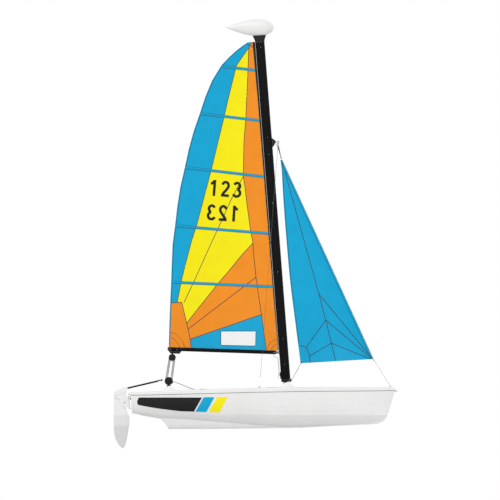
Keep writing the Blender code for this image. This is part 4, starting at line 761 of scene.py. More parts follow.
class Cloth:
    """The middle surface of a sail, smooth, read across the boat from its side view."""

    def __init__(self, node, lines):
        solid = solid_tree(node)
        low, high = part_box(node)
        self.outline = outline_of(NODES[node].data)
        self.flat, self.faces = cut_flat(self.outline, lines, CLOTH_SPACING)
        across = []
        for x, z in self.flat:
            near = solid.ray_cast(Vector((x, low.y - 1.0, z)), Vector((0, 1, 0)))[0]
            far = solid.ray_cast(Vector((x, high.y + 1.0, z)), Vector((0, -1, 0)))[0]
            if near is None or far is None:
                near = far = solid.find_nearest(Vector((x, (low.y + high.y) / 2, z)))[0]
            across.append((near.y + far.y) / 2)
        self.across = self.smoothed(across)
        self.tree = BVHTree.FromPolygons([Vector((x, y, z)) for (x, z), y in zip(self.flat, self.across)],
                                         [face for face, _ in self.faces])

    def smoothed(self, across):
        """Round off the facets, with the edges left where they are."""
        uses = edge_uses(self.faces)
        fixed = {i for edge, count in uses.items() if count == 1 for i in edge}
        around = {}
        for a, b in uses:
            around.setdefault(a, []).append(b)
            around.setdefault(b, []).append(a)
        for _ in range(SMOOTHING_STEPS):
            across = [y if i in fixed or i not in around else
                      (y + sum(across[n] for n in around[i]) / len(around[i])) / 2
                      for i, y in enumerate(across)]
        return across

    def y(self, x, z):
        hit = self.tree.ray_cast(Vector((x, -5.0, z)), Vector((0, 1, 0)))[0]
        if hit is None:
            hit = self.tree.find_nearest(Vector((x, 0.1, z)))[0]
        return hit.y

    def shell(self, name, body, region, looks):
        """The cloth as a closed thin sheet, each panel in its own look."""
        def layer(shift):
            return lambda i: (self.flat[i][0], self.across[i] + shift, self.flat[i][1])
        mesh = two_sided(self.faces, layer(-CLOTH_THICKNESS / 2), layer(CLOTH_THICKNESS / 2),
                         lambda middle: region(middle[0], middle[1] + DRAFT))
        return put(mesh, name, body, looks, 60.0)

    def strip(self, piece, line, width, lift, side, crown=0.0, spacing=CLOTH_SPACING):
        """A tape sewn along a line on one face: side -1 is starboard and 1 is port."""
        points = densified(line, spacing)
        rings = []
        for i, (x, z) in enumerate(points):
            x0, z0 = points[max(i - 1, 0)]
            x1, z1 = points[min(i + 1, len(points) - 1)]
            length = math.hypot(x1 - x0, z1 - z0)
            nx, nz = -(z1 - z0) / length, (x1 - x0) / length
            ring = []
            for share, rise in ((-0.5, -TAPE_BITE), (-0.47, lift), (-0.22, lift + crown * 0.85),
                                (0.0, lift + crown), (0.22, lift + crown * 0.85), (0.47, lift),
                                (0.5, -TAPE_BITE)):
                px, pz = x + nx * width * share, z + nz * width * share
                ring.append((px, self.y(px, pz) + side * (CLOTH_THICKNESS / 2 + rise), pz))
            rings.append(ring)
        piece.loft(rings)

    def tape(self, piece, line, width, lift):
        """The same strip on both faces."""
        for side in (-1, 1):
            self.strip(piece, line, width, lift, side)

    def sew(self, name, body, slot, seams):
        """The rows of thread along the seams, and the tape along the leech."""
        threads = Piece()
        for line in seams:
            self.tape(threads, trimmed(raised(line), self.outline), SEAM_WIDTH, SEAM_LIFT)
        leech = Piece()
        self.tape(leech, hem_line(self.outline), HEM_WIDTH, SEAM_LIFT * 2)
        return [threads.finish(name + "_seams", body, slot, "thread"),
                leech.finish(name + "_leech_tape", body, slot, "tape")]


def outline_of(data):
    """The outline of a thin sheet in side view, from the points of its edge faces."""
    found = set()
    for polygon in data.polygons:
        if abs(polygon.normal.y) < 0.3:
            for i in polygon.vertices:
                co = data.vertices[i].co
                found.add((round(co.x, 4), round(co.z, 4)))
    cx = sum(x for x, z in found) / len(found)
    cz = sum(z for x, z in found) / len(found)
    return sorted(found, key=lambda p: math.atan2(p[1] - cz, p[0] - cx))


# Sails

def main_region(x, height):
    """Which look a spot of the mainsail has: 0 blue, 1 yellow, 2 orange, 3 black, 4 window."""
    spot = (x, height)
    if inside(spot, WINDOW):
        return 4
    if inside(spot, LUFF_BAND + [(0.60, 1.060), (0.60, 5.640)]):
        return 3
    if inside(spot, BLUE_EDGE + CLEW_TOP[::-1][1:] + [(-1.90, 1.829), (-1.90, 5.80), (-0.140, 5.80)]
              + HEAD_CORNER[:1]):
        return 0
    if inside(spot, BLUE_EDGE + CLEW_TOP[2:] + [(-1.104, 1.532)] + DIAGONAL[::-1] + ORANGE_EDGE[::-1]):
        return 1
    if inside(spot, FOOT_EDGE + LUFF_SEAM[4:] + [(-1.037, 1.00), (-1.037, 1.150)]):
        return 0
    return 2


def make_mainsail():
    """The mainsail's cloth in its panels, with seams, leech tape, figures and batten pockets."""
    edges = [HEAD_CORNER, BLUE_EDGE, ORANGE_EDGE, DIAGONAL, CLEW_TOP, CLEW_SIDE, FOOT_EDGE, LUFF_SEAM]
    frame_of_window = WINDOW + WINDOW[:1]
    cloth = Cloth("mainsail", [raised(line) for line in edges + [LUFF_BAND, frame_of_window]])
    sail = cloth.shell("mainsail_cloth", "boom", main_region,
                       ["blue", "yellow", "orange", "black", "window"])
    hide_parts("mainsail")
    sewn = cloth.sew("mainsail", "boom", "sail_main",
                     edges + [YELLOW_SEAM, ORANGE_SEAM, HEADBOARD_SEAM, frame_of_window, LUFF_BAND])
    figures = Piece()
    for side in (-1, 1):
        draw_figures(cloth, figures, UPPER_ROW, False, side)
        draw_figures(cloth, figures, LOWER_ROW, True, side)
    figures = figures.finish("sail_figures", "boom", "sail_main", "black")
    make_pockets(cloth)
    return cloth


def hem_line(outline):
    """A line just inside the leech, from the clew to the head."""
    foot = min(z for x, z in outline)
    lowest = min((p for p in outline if p[1] < foot + 0.35), key=lambda p: p[0])[1]
    highest = max(z for x, z in outline)
    heights = [lowest + 0.02 + (highest - lowest - 0.06) * i / 40 for i in range(41)]
    return [(min(crossings_at(outline, z)) + HEM_WIDTH * 0.65, z) for z in heights]


def batten_ends(node):
    """The aft and forward ends of a batten in side view."""
    ends = []
    for limit in (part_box(node)[0].x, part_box(node)[1].x):
        zs = [v.co.z for v in NODES[node].data.vertices if abs(v.co.x - limit) < 0.004]
        ends.append((limit, (min(zs) + max(zs)) / 2))
    return ends


def luff_x(height):
    """X of the line where the mainsail's coloured panels end at the luff."""
    return read_line([(h, x) for x, h in LUFF_BAND], height)


def make_pockets(cloth):
    """A sewn pocket over each batten, with a row of stitches along both its edges."""
    for number in "12345":
        aft, fore = batten_ends("batten_" + number)
        share = (luff_x(fore[1] + DRAFT) - 0.004 - aft[0]) / (fore[0] - aft[0])
        fore = (aft[0] + (fore[0] - aft[0]) * share, aft[1] + (fore[1] - aft[1]) * share)
        pocket = Piece()
        cloth.strip(pocket, [aft, fore], POCKET_WIDTH, POCKET_EDGE, -1, POCKET_LIFT - POCKET_EDGE)
        cloth.strip(pocket, [aft, fore], POCKET_WIDTH, 0.0006, 1, 0.0004)
        pocket = pocket.finish("batten_pocket_" + number, "boom", "batten", "pocket")
        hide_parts("batten_" + number)
        stitches = Piece()
        length = math.hypot(fore[0] - aft[0], fore[1] - aft[1])
        nx, nz = -(fore[1] - aft[1]) / length, (fore[0] - aft[0]) / length
        for off in (-POCKET_WIDTH / 2, POCKET_WIDTH / 2):
            cloth.tape(stitches, [(x + nx * off, z + nz * off) for x, z in (aft, fore)], STITCH_WIDTH,
                       STITCH_LIFT)
        stitches.finish("batten_stitches_" + number, "boom", "batten", "thread")


def figure_strokes(figure):
    """The strokes of a 1, 2 or 3 in a box 0.6 wide and 1 tall, as lines of (across, up)."""
    if figure == "1":
        return [[(0.10, 0.74), (0.22, 0.80), (0.33, 0.92)], [(0.36, 0.0), (0.36, 1.0)]]
    if figure == "2":
        bowl = arc((0.30, 0.70), 0.21, 0.22, 170, -28, 14)
        return [bowl + [(0.36, 0.42), (0.20, 0.24), (0.11, 0.10)], [(0.03, 0.08), (0.58, 0.08)]]
    return [arc((0.28, 0.72), 0.20, 0.20, 160, -80, 14), arc((0.28, 0.29), 0.24, 0.22, 82, -160, 14)]


def draw_figures(cloth, piece, row, mirrored, side):
    """A row of figures along a foot line, each leaning with the line."""
    (x0, h0), (x1, h1) = row
    length = math.hypot(x1 - x0, h1 - h0)
    ux, uz = (x1 - x0) / length, (h1 - h0) / length
    pitch = length / len(FIGURES)
    for place, figure in enumerate(FIGURES[::-1] if mirrored else FIGURES):
        for order, stroke in enumerate(figure_strokes(figure)):
            line = []
            for across, rise in stroke:
                across = 0.62 - across if mirrored else across
                along = place * pitch + across * pitch * 1.22
                line.append((x0 + ux * along - uz * rise * FIGURE_HEIGHT,
                             up(h0 + uz * along + ux * rise * FIGURE_HEIGHT)))
            cloth.strip(piece, line, FIGURE_STROKE, FIGURE_LIFT * (1 + order / 2), side, spacing=0.012)


def make_jib():
    """The jib's cloth, with its seams and leech tape."""
    rays = [[JIB_TACK, point] for point in JIB_MIDDLE]
    seams = [[JIB_HEAD] + JIB_MIDDLE + [JIB_FOOT], JIB_CLEW_SEAM] + rays + JIB_RIBS
    cloth = Cloth("jib", [raised(line) for line in seams])
    sail = cloth.shell("jib_cloth", "jib", lambda x, height: 0, ["blue"])
    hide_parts("jib")
    sewn = cloth.sew("jib", "jib", "sail_jib", seams)
    return cloth


# Hulls

def make_stripes():
    """The painted bands on the outer topsides, as thin film over the gelcoat."""
    for side, sign in SIDES.items():
        tree = solid_tree("hull_" + side)
        for name, outline in STRIPES.items():
            flat, faces = cut_flat(raised(outline), [], STRIPE_SPACING)

            def place(i, lift):
                x, z = flat[i]
                hit = tree.ray_cast(Vector((x, sign * 5.0, z)), Vector((0, -sign, 0)))[0]
                return x, hit.y + sign * lift, z

            mesh = two_sided(faces, lambda i: place(i, STRIPE_LIFT), lambda i: place(i, -STRIPE_LIFT))
            put(mesh, "stripe_" + name + "_" + side, "platform", ["gloss_" + name], 30.0)


def deck_rim(side, sign):
    """The deck's lower outer edge, from stern to bow: the line where it laps the hull."""
    data = NODES["deck_" + side].data
    middle = HULL_MIDDLE[side]
    stations = {}
    for v in data.vertices:
        stations.setdefault(round(v.co.x, 3), []).append(v.co)
    rim = []
    for x in sorted(stations):
        outer = [co for co in stations[x] if (co.y - middle) * sign > 0.004]
        if len(outer) < 3:
            continue
        reach = max((co.y - middle) * sign for co in outer)
        edge = min((co for co in outer if (co.y - middle) * sign > reach - 0.0005), key=lambda co: co.z)
        if rim and edge.z > rim[-1][2] + 0.03:
            continue
        rim.append((x, edge.y, edge.z))
    return rim


def make_gunwales():
    """The rubber bead over the joint of hull and deck."""
    for side in SIDES:
        bead = Piece()
        for sign in (-1, 1):
            path = [(x, y - sign * BEAD_RADIUS, z - 0.002) for x, y, z in deck_rim(side, sign)
                    if x < BEAD_END]
            bead.tube(path, BEAD_RADIUS, 8)
        bead.finish("gunwale_bead_" + side, "platform", "block", "rubber")


# Mainsheet tail

def smooth_path(points, spacing):
    """A smooth curve through the points, with new points about this far apart."""
    ends = [points[0] * 2 - points[1]] + points + [points[-1] * 2 - points[-2]]
    made = []
    for before, start, end, after in zip(ends, ends[1:], ends[2:], ends[3:]):
        steps = max(1, math.ceil((end - start).length / spacing))
        for i in range(steps):
            t = i / steps
            made.append(0.5 * (2 * start + (end - before) * t
                               + (2 * before - 5 * start + 4 * end - after) * t ** 2
                               + (3 * start - before - 3 * end + after) * t ** 3))
    return made + [points[-1]]


def coil_turns(base):
    """The coil from its outer bottom turn, in layers that wind in, out and in again."""
    points = []
    radius = COIL_OUTER
    height = base + ROPE_DIAMETER / 2
    inward = -1
    turns = COIL_ROWS * COIL_LAYERS
    for turn in range(turns):
        row_ends = turn % COIL_ROWS == COIL_ROWS - 1
        for i in range(COIL_POINTS):
            share = max(0.0, 3 * i / COIL_POINTS - 2)
            if share > 0 and turn == turns - 1:
                break
            ease = share * share * (3 - 2 * share)
            out = radius + inward * (COIL_BULGE * math.sin(math.pi * share) ** 2 if row_ends
                                     else COIL_PITCH * ease)
            rise = height + (COIL_LAYER * ease if row_ends else 0.0)
            angle = math.radians(COIL_START - 360 * i / COIL_POINTS)
            points.append(Vector((COIL_MIDDLE[0] + out * math.cos(angle),
                                  COIL_MIDDLE[1] + out * math.sin(angle), rise)))
        if row_ends:
            height += COIL_LAYER
            inward = -inward
        else:
            radius += inward * COIL_PITCH
    return points


def make_sheet_tail():
    """The mainsheet's free end, from its cleat down to the trampoline and into its coil."""
    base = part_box("sheet_coil")[0].z
    route = [in_plane(point) for point in raised(TAIL_POINTS)]
    aside = [Vector((x, y, base + ROPE_DIAMETER / 2)) for x, y in TAIL_ASIDE]
    path = smooth_path(route + aside + coil_turns(base), 0.008)
    rope = Piece().tube(path, ROPE_DIAMETER / 2).finish("mainsheet_tail", "platform", "rope", "rope")
    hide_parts("sheet_tail", "sheet_coil")


# Trampoline

def make_trampoline():
    """The net between the beams, with sewn webbing along its edges and two toe straps above it."""
    low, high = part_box("trampoline")
    tree = solid_tree("trampoline")
    sides = [(v.co.x, v.co.y) for v in NODES["trampoline"].data.vertices if v.co.y > 0.3]

    def top(x):
        inside_x = min(max(x, low.x + 0.002), high.x - 0.002)
        hit = tree.ray_cast(Vector((inside_x, 0.049, high.z + 1.0)), Vector((0, 0, -1)))[0]
        return hit.z if hit is not None else high.z

    def grid(x0, x1, start, end, rows, columns, lift):
        """Points on the net, across between two lines that follow from its half width."""
        made = []
        for i in range(rows + 1):
            x = x0 + (x1 - x0) * i / rows
            half = read_line(sides, x)
            made.append([Vector((x, start(half) + (end(half) - start(half)) * k / columns, top(x) + lift))
                         for k in range(columns + 1)])
        return made

    net = Piece()
    net.slab(grid(low.x, high.x, lambda h: -h, lambda h: h, NET_ROWS, NET_COLUMNS, 0.0), NET_THICKNESS)
    net = net.finish("trampoline_net", "platform", "cloth", "net")
    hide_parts("trampoline")
    edge = Piece()
    for side in (-1, 1):
        edge.slab(grid(low.x + 0.002, high.x - 0.002, lambda h: side * (h - 0.001),
                       lambda h: side * (h - EDGE_WEBBING), NET_ROWS, 2, 0.0012), 0.0026)
    for x0, x1 in ((low.x + 0.001, low.x + EDGE_WEBBING), (high.x - EDGE_WEBBING, high.x - 0.001)):
        edge.slab(grid(x0, x1, lambda h: 0.001 - h, lambda h: h - 0.001, 2, NET_COLUMNS, 0.0016), 0.0032)
    for y in (-NET_SEAM_Y, NET_SEAM_Y):
        edge.slab(grid(low.x + 0.01, high.x - 0.01, lambda h: y - 0.012, lambda h: y + 0.012, NET_ROWS, 2,
                       0.0009), 0.0022)
    edge = edge.finish("trampoline_webbing", "platform", "cloth", "webbing")
    straps = Piece()
    for y in (-STRAP_Y, STRAP_Y):
        rows = []
        for i in range(STRAP_STEPS + 1):
            share = i / STRAP_STEPS
            x = low.x + 0.015 + (high.x - low.x - 0.030) * share
            rise = STRAP_RISE * min(1.0, math.sin(math.pi * share) * 2.2)
            level = top(x) + 0.0044 + rise
            rows.append([Vector((x, y + STRAP_WIDTH * (k / 6 - 0.5),
                                 level - 0.004 * (k / 3 - 1) ** 2 * rise / STRAP_RISE)) for k in range(7)])
        straps.slab(rows, 0.0024)
    straps = straps.finish("toe_straps", "platform", "cloth", "webbing")
    eyes = Piece()
    for i in range(EYES_A_SIDE):
        for y in (-EYE_PITCH * (i + 1), EYE_PITCH * (i + 1)):
            for x in (low.x + EYE_INSET, high.x - EYE_INSET):
                eyes.ring((x, y, top(x) + 0.0018), (0, 0, 1), EYE_RADIUS, 0.0016, 20)
    eyes = eyes.finish("trampoline_eyes", "platform", "cloth", "steel")


# Running and standing rigging

def on_spar(foot, lean, along, y, rise):
    """A point by a spar, in the spar's own lean: ahead of its foot, across the boat and up."""
    a = math.radians(lean)
    return in_plane((foot[0] + along * math.cos(a) - rise * math.sin(a),
                     foot[1] + along * math.sin(a) + rise * math.cos(a)), y)


def arc_points(centre, radius, start, end, y, steps=18):
    return [in_plane(point, y) for point in arc(centre, radius, radius, start, end, steps)]


def make_mainsheet():
    """Six falls between the blocks: upper turns and falls go with the boom, lower turns stay on the car."""
    upper, lower = in_plane(UPPER_BLOCK), in_plane(LOWER_BLOCK)
    up_line = (upper - lower).normalized()
    bearing = math.degrees(math.atan2(up_line.z, up_line.x))
    aft = Vector((-up_line.z, 0.0, up_line.x))
    falls = Piece()
    turns = Piece()
    for y, size in ((-SHEAVE_PITCH, 1.0), (0.0, 0.74), (SHEAVE_PITCH, 0.48)):
        over = arc_points(UPPER_BLOCK, UPPER_LEAD * size, bearing + 90, bearing - 90, y)
        under = arc_points(LOWER_BLOCK, LOWER_LEAD * size, bearing + 90, bearing + 270, y)
        ends = []
        for sign in (1, -1):
            foot = lower + aft * sign * LOWER_LEAD * size + Vector((0, y, 0))
            head = upper + aft * sign * UPPER_LEAD * size + Vector((0, y, 0))
            along = (head - foot).normalized()
            parting = foot + along * FALL_STUB
            ends.append((foot, parting - along * 0.002, parting, (parting + head) / 2))
        (aft_foot, aft_tip, aft_parting, aft_middle), (foot, tip, parting, middle) = ends
        falls.tube([aft_parting, aft_middle] + over + [middle, parting], ROPE_DIAMETER / 2)
        turns.tube([aft_tip, aft_foot] + under[1:-1] + [foot, tip], ROPE_DIAMETER / 2)
    falls.finish("mainsheet_falls", "boom", "rope", "rope")
    turns.finish("mainsheet_lower_turns", "platform", "rope", "rope")
    cheek = 1.5 * SHEAVE_PITCH + 0.0035
    for centre, body in ((LOWER_BLOCK, "platform"), (UPPER_BLOCK, "boom")):
        pins = Piece()
        for side in (-1, 1):
            pins.turned(BLOCK_PIN, in_plane(centre, side * cheek), (0, side, 0), 20)
        pins.finish("block_pin_" + body, body, "block", "moulded")


def jib_clew():
    """The eye in the jib's clew, a little inside the corner."""
    z = up(JIB_CLEW_HEIGHT)
    x = min(crossings_at(JIB_CLOTH.outline, z)) + 0.024
    return Vector((x, JIB_CLOTH.y(x, z), z))


def make_jib_sheets():
    """A block for each jib sheet on the front beam, and the two sheets up to the clew."""
    clew = jib_clew()
    for side, sign in SIDES.items():
        y = sign * JIB_BLOCK_Y
        centre = in_plane(JIB_BLOCK, y)
        beam_low, beam_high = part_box("front_beam")
        seat = Vector(((beam_low.x + beam_high.x) / 2, y, beam_high.z))
        block = Piece().turned(JIB_BLOCK_FORM, centre, (0, 1, 0), 28)
        block.finish("jib_block_" + side, "platform", "block", "moulded")
        strap = Piece()
        for off in (-JIB_STRAP_Y, JIB_STRAP_Y):
            strap.tube([centre + Vector((0.0, off, 0.008)), centre + Vector((0.0, off, 0.0)),
                        (centre + seat) / 2 + Vector((0.0, off, -0.002)),
                        seat + Vector((0.010, off * 0.8, -0.001))], 0.0017, 8)
        strap.turned([(-0.0125, 0.004), (0.0125, 0.004)], centre, (0, 1, 0), 16)
        strap.ring(seat + Vector((0.010, 0, 0.003)), (1, 0, 0.3), 0.0085, 0.0022)
        strap.finish("jib_block_strap_" + side, "platform", "steel", "steel")
        toward = (clew - centre).normalized()
        rim = centre + Vector((toward.z, 0, -toward.x)).normalized() * JIB_SHEAVE
        start = rim + toward * 0.002
        end = clew - toward * 0.012
        line = Piece().tube([start + (end - start) * i / 30 for i in range(31)], JIB_SHEET_DIAMETER / 2, 8)
        line = line.finish("jib_sheet_" + side, None, "rope", "rope_dark")
        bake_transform(line)
        lead = arc_points(JIB_BLOCK, JIB_SHEAVE, -34, -96, y, 10) + [in_plane(p, y) for p in JIB_LEAD]
        Piece().tube(lead, JIB_SHEET_DIAMETER / 2, 8).finish(
            "jib_sheet_turn_" + side, "platform", "rope", "rope_dark")
        cleat = Piece().loft([[Vector((x, y + off, z)) for x, off in JIB_CLEAT] for z in JIB_CLEAT_Z])
        for off in (-0.0135, 0.0135):
            cleat.turned(JIB_CAM, (0.318, y + off, 0.4698), (0, 0, 1), 20)
        cleat.finish("jib_cleat_" + side, "platform", "block", "moulded", sharp=30.0)
    knot = Piece()
    for shift in (-0.006, 0.0, 0.006):
        knot.ring(clew + Vector((shift * 0.6, 0, shift * 0.6)), (1, 0, 1), 0.0075, 0.003, 20)
    knot.finish("jib_clew_knot", "jib", "rope", "rope_dark")


def make_downhaul():
    """The tack lashing under the boom and its two falls down the mast to their cleat."""
    top, bottom = [in_plane(point) for point in raised(DOWNHAUL)]
    lines = Piece()
    for y in (-0.007, 0.007):
        lines.tube([top + Vector((0, y, 0)), (top + bottom) / 2 + Vector((0.001, y, 0)),
                    bottom + Vector((0, y * 0.6, 0))], DOWNHAUL_RADIUS, 8)
    lines.tube([bottom + Vector((-0.004, 0, 0.004)), bottom + Vector((-0.012, 0, -0.05)),
                bottom + Vector((-0.013, 0.001, -0.11))], DOWNHAUL_TAIL_RADIUS, 8)
    lines.finish("downhaul_falls", "mast", "rope", "rope_dark")
    hook = Piece().tube([in_plane(point) for point in raised(TACK_HOOK)], TACK_HOOK_RADIUS, 8)
    hook.finish("tack_hook", "boom", "rope", "rope")


def make_halyard():
    """The two dark lines between the hounds and the head of the jib."""
    head = Vector((JIB_HEAD[0] - 0.002, 0.0, up(JIB_HEAD[1]) + 0.004))
    lines = Piece()
    for x, y in HALYARD_ENDS:
        first = Vector((x, y, up(HALYARD_HEIGHT)))
        lines.tube([first, (first + head) / 2 + Vector((0.002, y * 0.4, 0)), head + Vector((0, y * 0.4, 0))],
                   HALYARD_RADIUS, 8)
    lines.finish("jib_halyard", "platform", "rope", "rope_dark")


def swage(piece, end, toward, back=SWAGE_BACK):
    """A pressed sleeve, this far back from a wire's end, with a lip at its eye."""
    along = (toward - end).normalized()
    piece.turned([(at, WIRE_RADIUS * size) for at, size in SWAGE], end + along * back, along, 16)


def wire_ends(node):
    """The two end points of a straight wire."""
    data = NODES[node].data
    places = sorted((v.co.copy() for v in data.vertices), key=lambda co: co.z)
    count = len(places) // 2
    low = sum(places[:count], Vector()) / count
    high = sum(places[-count:], Vector()) / count
    return low, high


def make_wire_fittings():
    """Swages on the shrouds and the bridles, and the perforated adjuster plates under the shrouds."""
    for side in SIDES:
        low, high = wire_ends("shroud_" + side)
        along = (high - low).normalized()
        low_b, high_b = wire_ends("bridle_" + side)
        fittings = Piece()
        swage(fittings, low, high, ADJUSTER_LENGTH - ADJUSTER_FOOT)
        for end, toward in ((high, low), (low_b, high_b), (high_b, low_b)):
            swage(fittings, end, toward)
        fittings.finish("swages_" + side, "platform", "steel", "steel")
        plates = Piece()
        across = Vector((0, 1, 0)).cross(along).normalized()
        out = along.cross(across).normalized()
        foot = low - along * ADJUSTER_FOOT
        for off in (-0.0042, 0.0042):
            ends = []
            for place in (0.0, ADJUSTER_LENGTH):
                middle = foot + along * place + out * off
                half, thin = across * 0.0085, out * 0.0008
                ends.append([middle + half + thin, middle - half + thin, middle - half - thin,
                             middle + half - thin])
            plates.loft(ends)
        for place in ADJUSTER_HOLES:
            plates.turned([(-0.0070, 0.0030), (0.0070, 0.0030)], foot + along * place, out, 12)
        plates.finish("shroud_adjuster_" + side, "platform", "steel", "steel", sharp=30.0)


def bolt_head(piece, centre, axis, radius, rise):
    """A six-sided head with its edge rounded off."""
    piece.turned([(-0.001, radius), (rise * 0.6, radius), (rise, radius * 0.72)], centre, axis, 6)


def make_fasteners():
    """Rudder bolts, the beams' end caps with their bolts, drain plugs, and rivets on the spars."""
    for side, sign in SIDES.items():
        middle = HULL_MIDDLE[side]
        bolts = Piece()
        low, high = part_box("lower_casting_" + side)
        for out in (-1, 1):
            face = middle + out * (high.y - low.y) / 2
            bolts.turned(RUDDER_NUT, in_plane(RUDDER_BOLT, face), (0, out, 0))
            for bolt in CASTING_BOLTS:
                bolt_head(bolts, in_plane(bolt, face - out * 0.0006), (0, out, 0), 0.0045, 0.0028)
        bolts.finish("casting_bolts_" + side, "rudder_" + side, "steel", "steel", sharp=25.0)
        caps = Piece()
        for beam in ("front_beam", "rear_beam"):
            low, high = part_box(beam)
            centre = ((low.x + high.x) / 2, sign * (abs(high.y) - 0.0004), (low.z + high.z) / 2)
            radius = (high.x - low.x) / 2
            caps.turned([(0.0, radius * 0.97), (0.003, radius * 0.97), (0.0055, radius * 0.85)],
                        centre, (0, sign, 0), 32)
            for y in BEAM_BOLTS:
                bolt_head(caps, (centre[0], sign * y, high.z - 0.0006), (0, 0, 1), 0.0075, 0.005)
        caps.finish("beam_ends_" + side, "platform", "beam", "moulded", sharp=30.0)
        plate = solid_tree("hull_" + side).ray_cast(
            Vector((-2.5, middle + 0.035, up(DRAIN_HEIGHT))), Vector((1, 0, 0)))[0]
        plug = Piece().turned(DRAIN_PLUG, plate, (-1, 0, 0.05), 28)
        plug.finish("drain_plug_" + side, "platform", "block", "moulded", sharp=30.0)
    mast = [on_spar(MAST_FOOT, MAST_LEAN, 0.004, MAST_RIVET_Y, rise) for rise in MAST_RIVETS]
    boom = [on_spar(BOOM_HINGE, BOOM_TILT, along, BOOM_RIVET_Y, 0.0) for along in BOOM_RIVETS]
    for body, places, radius, rise in (("mast", mast, 0.0036, 0.0022), ("boom", boom, 0.0034, 0.0020)):
        rivets = Piece()
        for place in places:
            for side in (-1, 1):
                rivets.turned([(-0.001, radius), (0.0012, radius - 0.0002), (rise, radius - 0.0018)],
                              (place.x, side * place.y, place.z), (0, side, 0), 12)
        rivets.finish(body + "_rivets", body, "black_spar", "steel")


def make_hatches():
    """A round screw-in inspection port in each deck, just aft of the front beam."""
    for side in SIDES:
        tree = solid_tree("deck_" + side)
        middle = HULL_MIDDLE[side]
        points = [tree.ray_cast(Vector((HATCH_X + dx, middle + dy, 3.0)), Vector((0, 0, -1)))[0]
                  for dx, dy in ((-0.04, 0.0), (0.04, 0.0), (0.0, -0.04), (0.0, 0.04))]
        centre = sum(points, Vector()) / 4
        axis = (points[1] - points[0]).cross(points[3] - points[2]).normalized()
        rim = Piece().turned(HATCH_RIM, centre, axis, 48)
        rim.finish("hatch_rim_" + side, "platform", "block", "hatch", sharp=35.0)
        lid = Piece().turned(HATCH_LID, centre, axis, 48)
        along, first, second = axes_of(axis)
        for out in circle(Vector(), first, second, 1.0, 8):
            lid.tube([centre + along * 0.0052 + out * reach for reach in HATCH_RIB], 0.0016, 8)
        lid.finish("hatch_lid_" + side, "platform", "block", "hatch", sharp=35.0)


def grommet(piece, cloth, x, z, radius, wire):
    """A pressed metal eye through the cloth."""
    piece.ring((x, cloth.y(x, z), z), (0, 1, 0), radius, wire, 28, 10)


def make_sail_fittings():
    """Eyes in both sails, the stitched rows of the corner patches, and the tape along the jib's luff."""
    main, jib = MAIN_CLOTH, JIB_CLOTH
    eyes = Piece()
    for x, h, radius in CORNER_EYES:
        if inside((x, up(h)), main.outline):
            grommet(eyes, main, x, up(h), radius, 0.0030)
    for h in LUFF_EYES:
        grommet(eyes, main, luff_x(h) - 0.030, up(h), 0.008, 0.0022)
    eyes.finish("mainsail_eyes", "boom", "sail_main", "steel")
    patches = Piece()
    tack_x = luff_x(1.12)
    rows = [[(-1.395, 1.165 + reach), (-1.33 + reach * 0.25, 1.165 + reach * 0.9),
             (-1.36 + reach * 0.8, 1.165 + reach * 0.45), (-1.36 + reach, 1.155)] for reach in (0.16, 0.24)]
    rows += [[(tack_x - 0.006, 1.115 + reach), (tack_x - reach * 0.6, 1.115 + reach * 0.75),
              (tack_x - reach, 1.12)] for reach in (0.12, 0.19)]
    for line in rows:
        main.tape(patches, trimmed(raised(line), main.outline), STITCH_WIDTH, PATCH_LIFT)
    patches.finish("mainsail_patch_rows", "boom", "sail_main", "thread")
    eyes = Piece()
    clew = jib_clew()
    grommet(eyes, jib, clew.x, clew.z, 0.010, 0.0026)
    eyes.finish("jib_eyes", "jib", "sail_jib", "steel")
    luff = Piece()
    head, tack = Vector(JIB_HEAD), Vector(JIB_TACK)
    along = (tack - head).normalized()
    aside = Vector((along[1], -along[0])) * 0.024
    line = [tuple(head + along * 0.10 + aside), tuple(tack - along * 0.06 + aside)]
    jib.tape(luff, trimmed(raised(line), jib.outline), 0.012, 0.0010)
    luff.finish("jib_luff_tape", "jib", "sail_jib", "tape")


def make_grips():
    """Ribbed rubber over the outer end of the tiller extension, and a soft joint at its foot."""
    low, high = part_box("tiller_extension")
    middle = (low + high) / 2
    radius = (high.x - low.x) / 2
    profile = [(0.0, radius * 1.02), (0.002, radius * 1.22)]
    for i in range(GRIP_RIBS):
        at = 0.006 + 0.0115 * i
        profile += [(at, radius * 1.22), (at + 0.002, radius * 1.12), (at + 0.005, radius * 1.12),
                    (at + 0.007, radius * 1.22)]
    profile += [(0.216, radius * 1.22), (0.2195, radius * 1.05)]
    joint = [(0.0, radius * 1.02), (0.002, radius * 1.18), (0.030, radius * 1.18), (0.036, radius * 1.03)]
    for name, form, y in (("extension_grip", profile, high.y - GRIP_LENGTH),
                          ("extension_sleeve", joint, low.y + 0.030)):
        grip = Piece().turned(form, (middle.x, y, middle.z), (0, 1, 0))
        grip.finish(name, "extension", "black_spar", "rubber", sharp=35.0)


FINISHES = {
    "gelcoat": "hull blade",
    "deck": "deck",
    "float": "masthead_float",
    "cast": "lower_casting upper_casting",
    "beam": "front_beam rear_beam mast_step traveller",
    "mast": "mast",
    "boom": "boom",
    "bar": "tiller crossbar",
    "moulded": "sheet_block stay_ring mast_foot masthead_cap hound_tang gooseneck downhaul_cleat boom_end"
               " boom_plug clew_fitting",
    "steel": "chainplate tack_shackle bow_tang rudder_hanger",
    "wire": "shroud forestay bridle",
    "net": "trampoline",
    "rope": "sheet",
    "blue": "mainsail jib",
    "pocket": "batten",
}


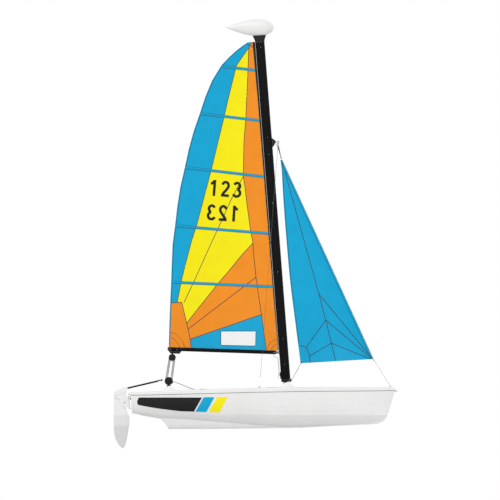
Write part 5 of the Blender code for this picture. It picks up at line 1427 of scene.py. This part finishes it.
def dress_cad():
    """Give each carried-over solid the look that goes with the longest of these beginnings of its name."""
    chosen = {start: look for look, starts in FINISHES.items() for start in starts.split()}
    for name, obj in NODES.items():
        start = max((s for s in chosen if name.startswith(s)), key=len)
        obj.data.materials.clear()
        obj.data.materials.append(LOOKS[chosen[start]])


def make_looks():
    return {
        "gelcoat": gelcoat("gelcoat_white"),
        "deck": deck_paint("deck_white"),
        "float": cast_paint("float_white"),
        "cast": cast_paint("casting_white"),
        "beam": anodised("beam_black", stretch=(1.0, 0.04, 1.0)),
        "mast": anodised("mast_black"),
        "boom": anodised("boom_black", stretch=(0.04, 1.0, 1.0)),
        "bar": anodised("tiller_black", stretch=(0.2, 0.2, 0.2)),
        "moulded": moulded("nylon_black"),
        "rubber": moulded("rubber_black"),
        "steel": stainless("steel_polished"),
        "wire": wire_lay("steel_wire"),
        "blue": sailcloth("cloth_blue", BLUE),
        "yellow": sailcloth("cloth_yellow", YELLOW),
        "orange": sailcloth("cloth_orange", ORANGE),
        "black": sailcloth("cloth_black", BLACK),
        "pocket": sailcloth("pocket_blue", tuple(c * 0.92 for c in BLUE)),
        "tape": sailcloth("tape_blue", tuple(c * 0.55 for c in BLUE)),
        "thread": webbing("thread_dark", (0.03, 0.05, 0.06)),
        "window": clear_vinyl("vinyl_clear"),
        "net": mesh_cloth("net_black"),
        "webbing": webbing("webbing_black"),
        "rope": braid("rope_grey", (0.15, 0.15, 0.155), (0.02, 0.02, 0.022)),
        "rope_dark": braid("rope_dark", (0.03, 0.03, 0.033), (0.25, 0.25, 0.25)),
        "hatch": moulded("hatch_white", (0.66, 0.66, 0.65), 0.06),
        "gloss_black": moulded("film_black", (0.006, 0.006, 0.007)),
        "gloss_blue": moulded("film_blue", BLUE, 0.03),
        "gloss_yellow": moulded("film_yellow", YELLOW, 0.03),
    }


make_camera()
LOOKS = make_looks()
make_sheet_tail()
make_floor()
make_light()
dress_cad()
MAIN_CLOTH = make_mainsail()
JIB_CLOTH = make_jib()
make_stripes()
make_gunwales()
make_trampoline()
make_mainsheet()
make_jib_sheets()
make_downhaul()
make_halyard()
make_wire_fittings()
make_fasteners()
make_hatches()
make_sail_fittings()
make_grips()
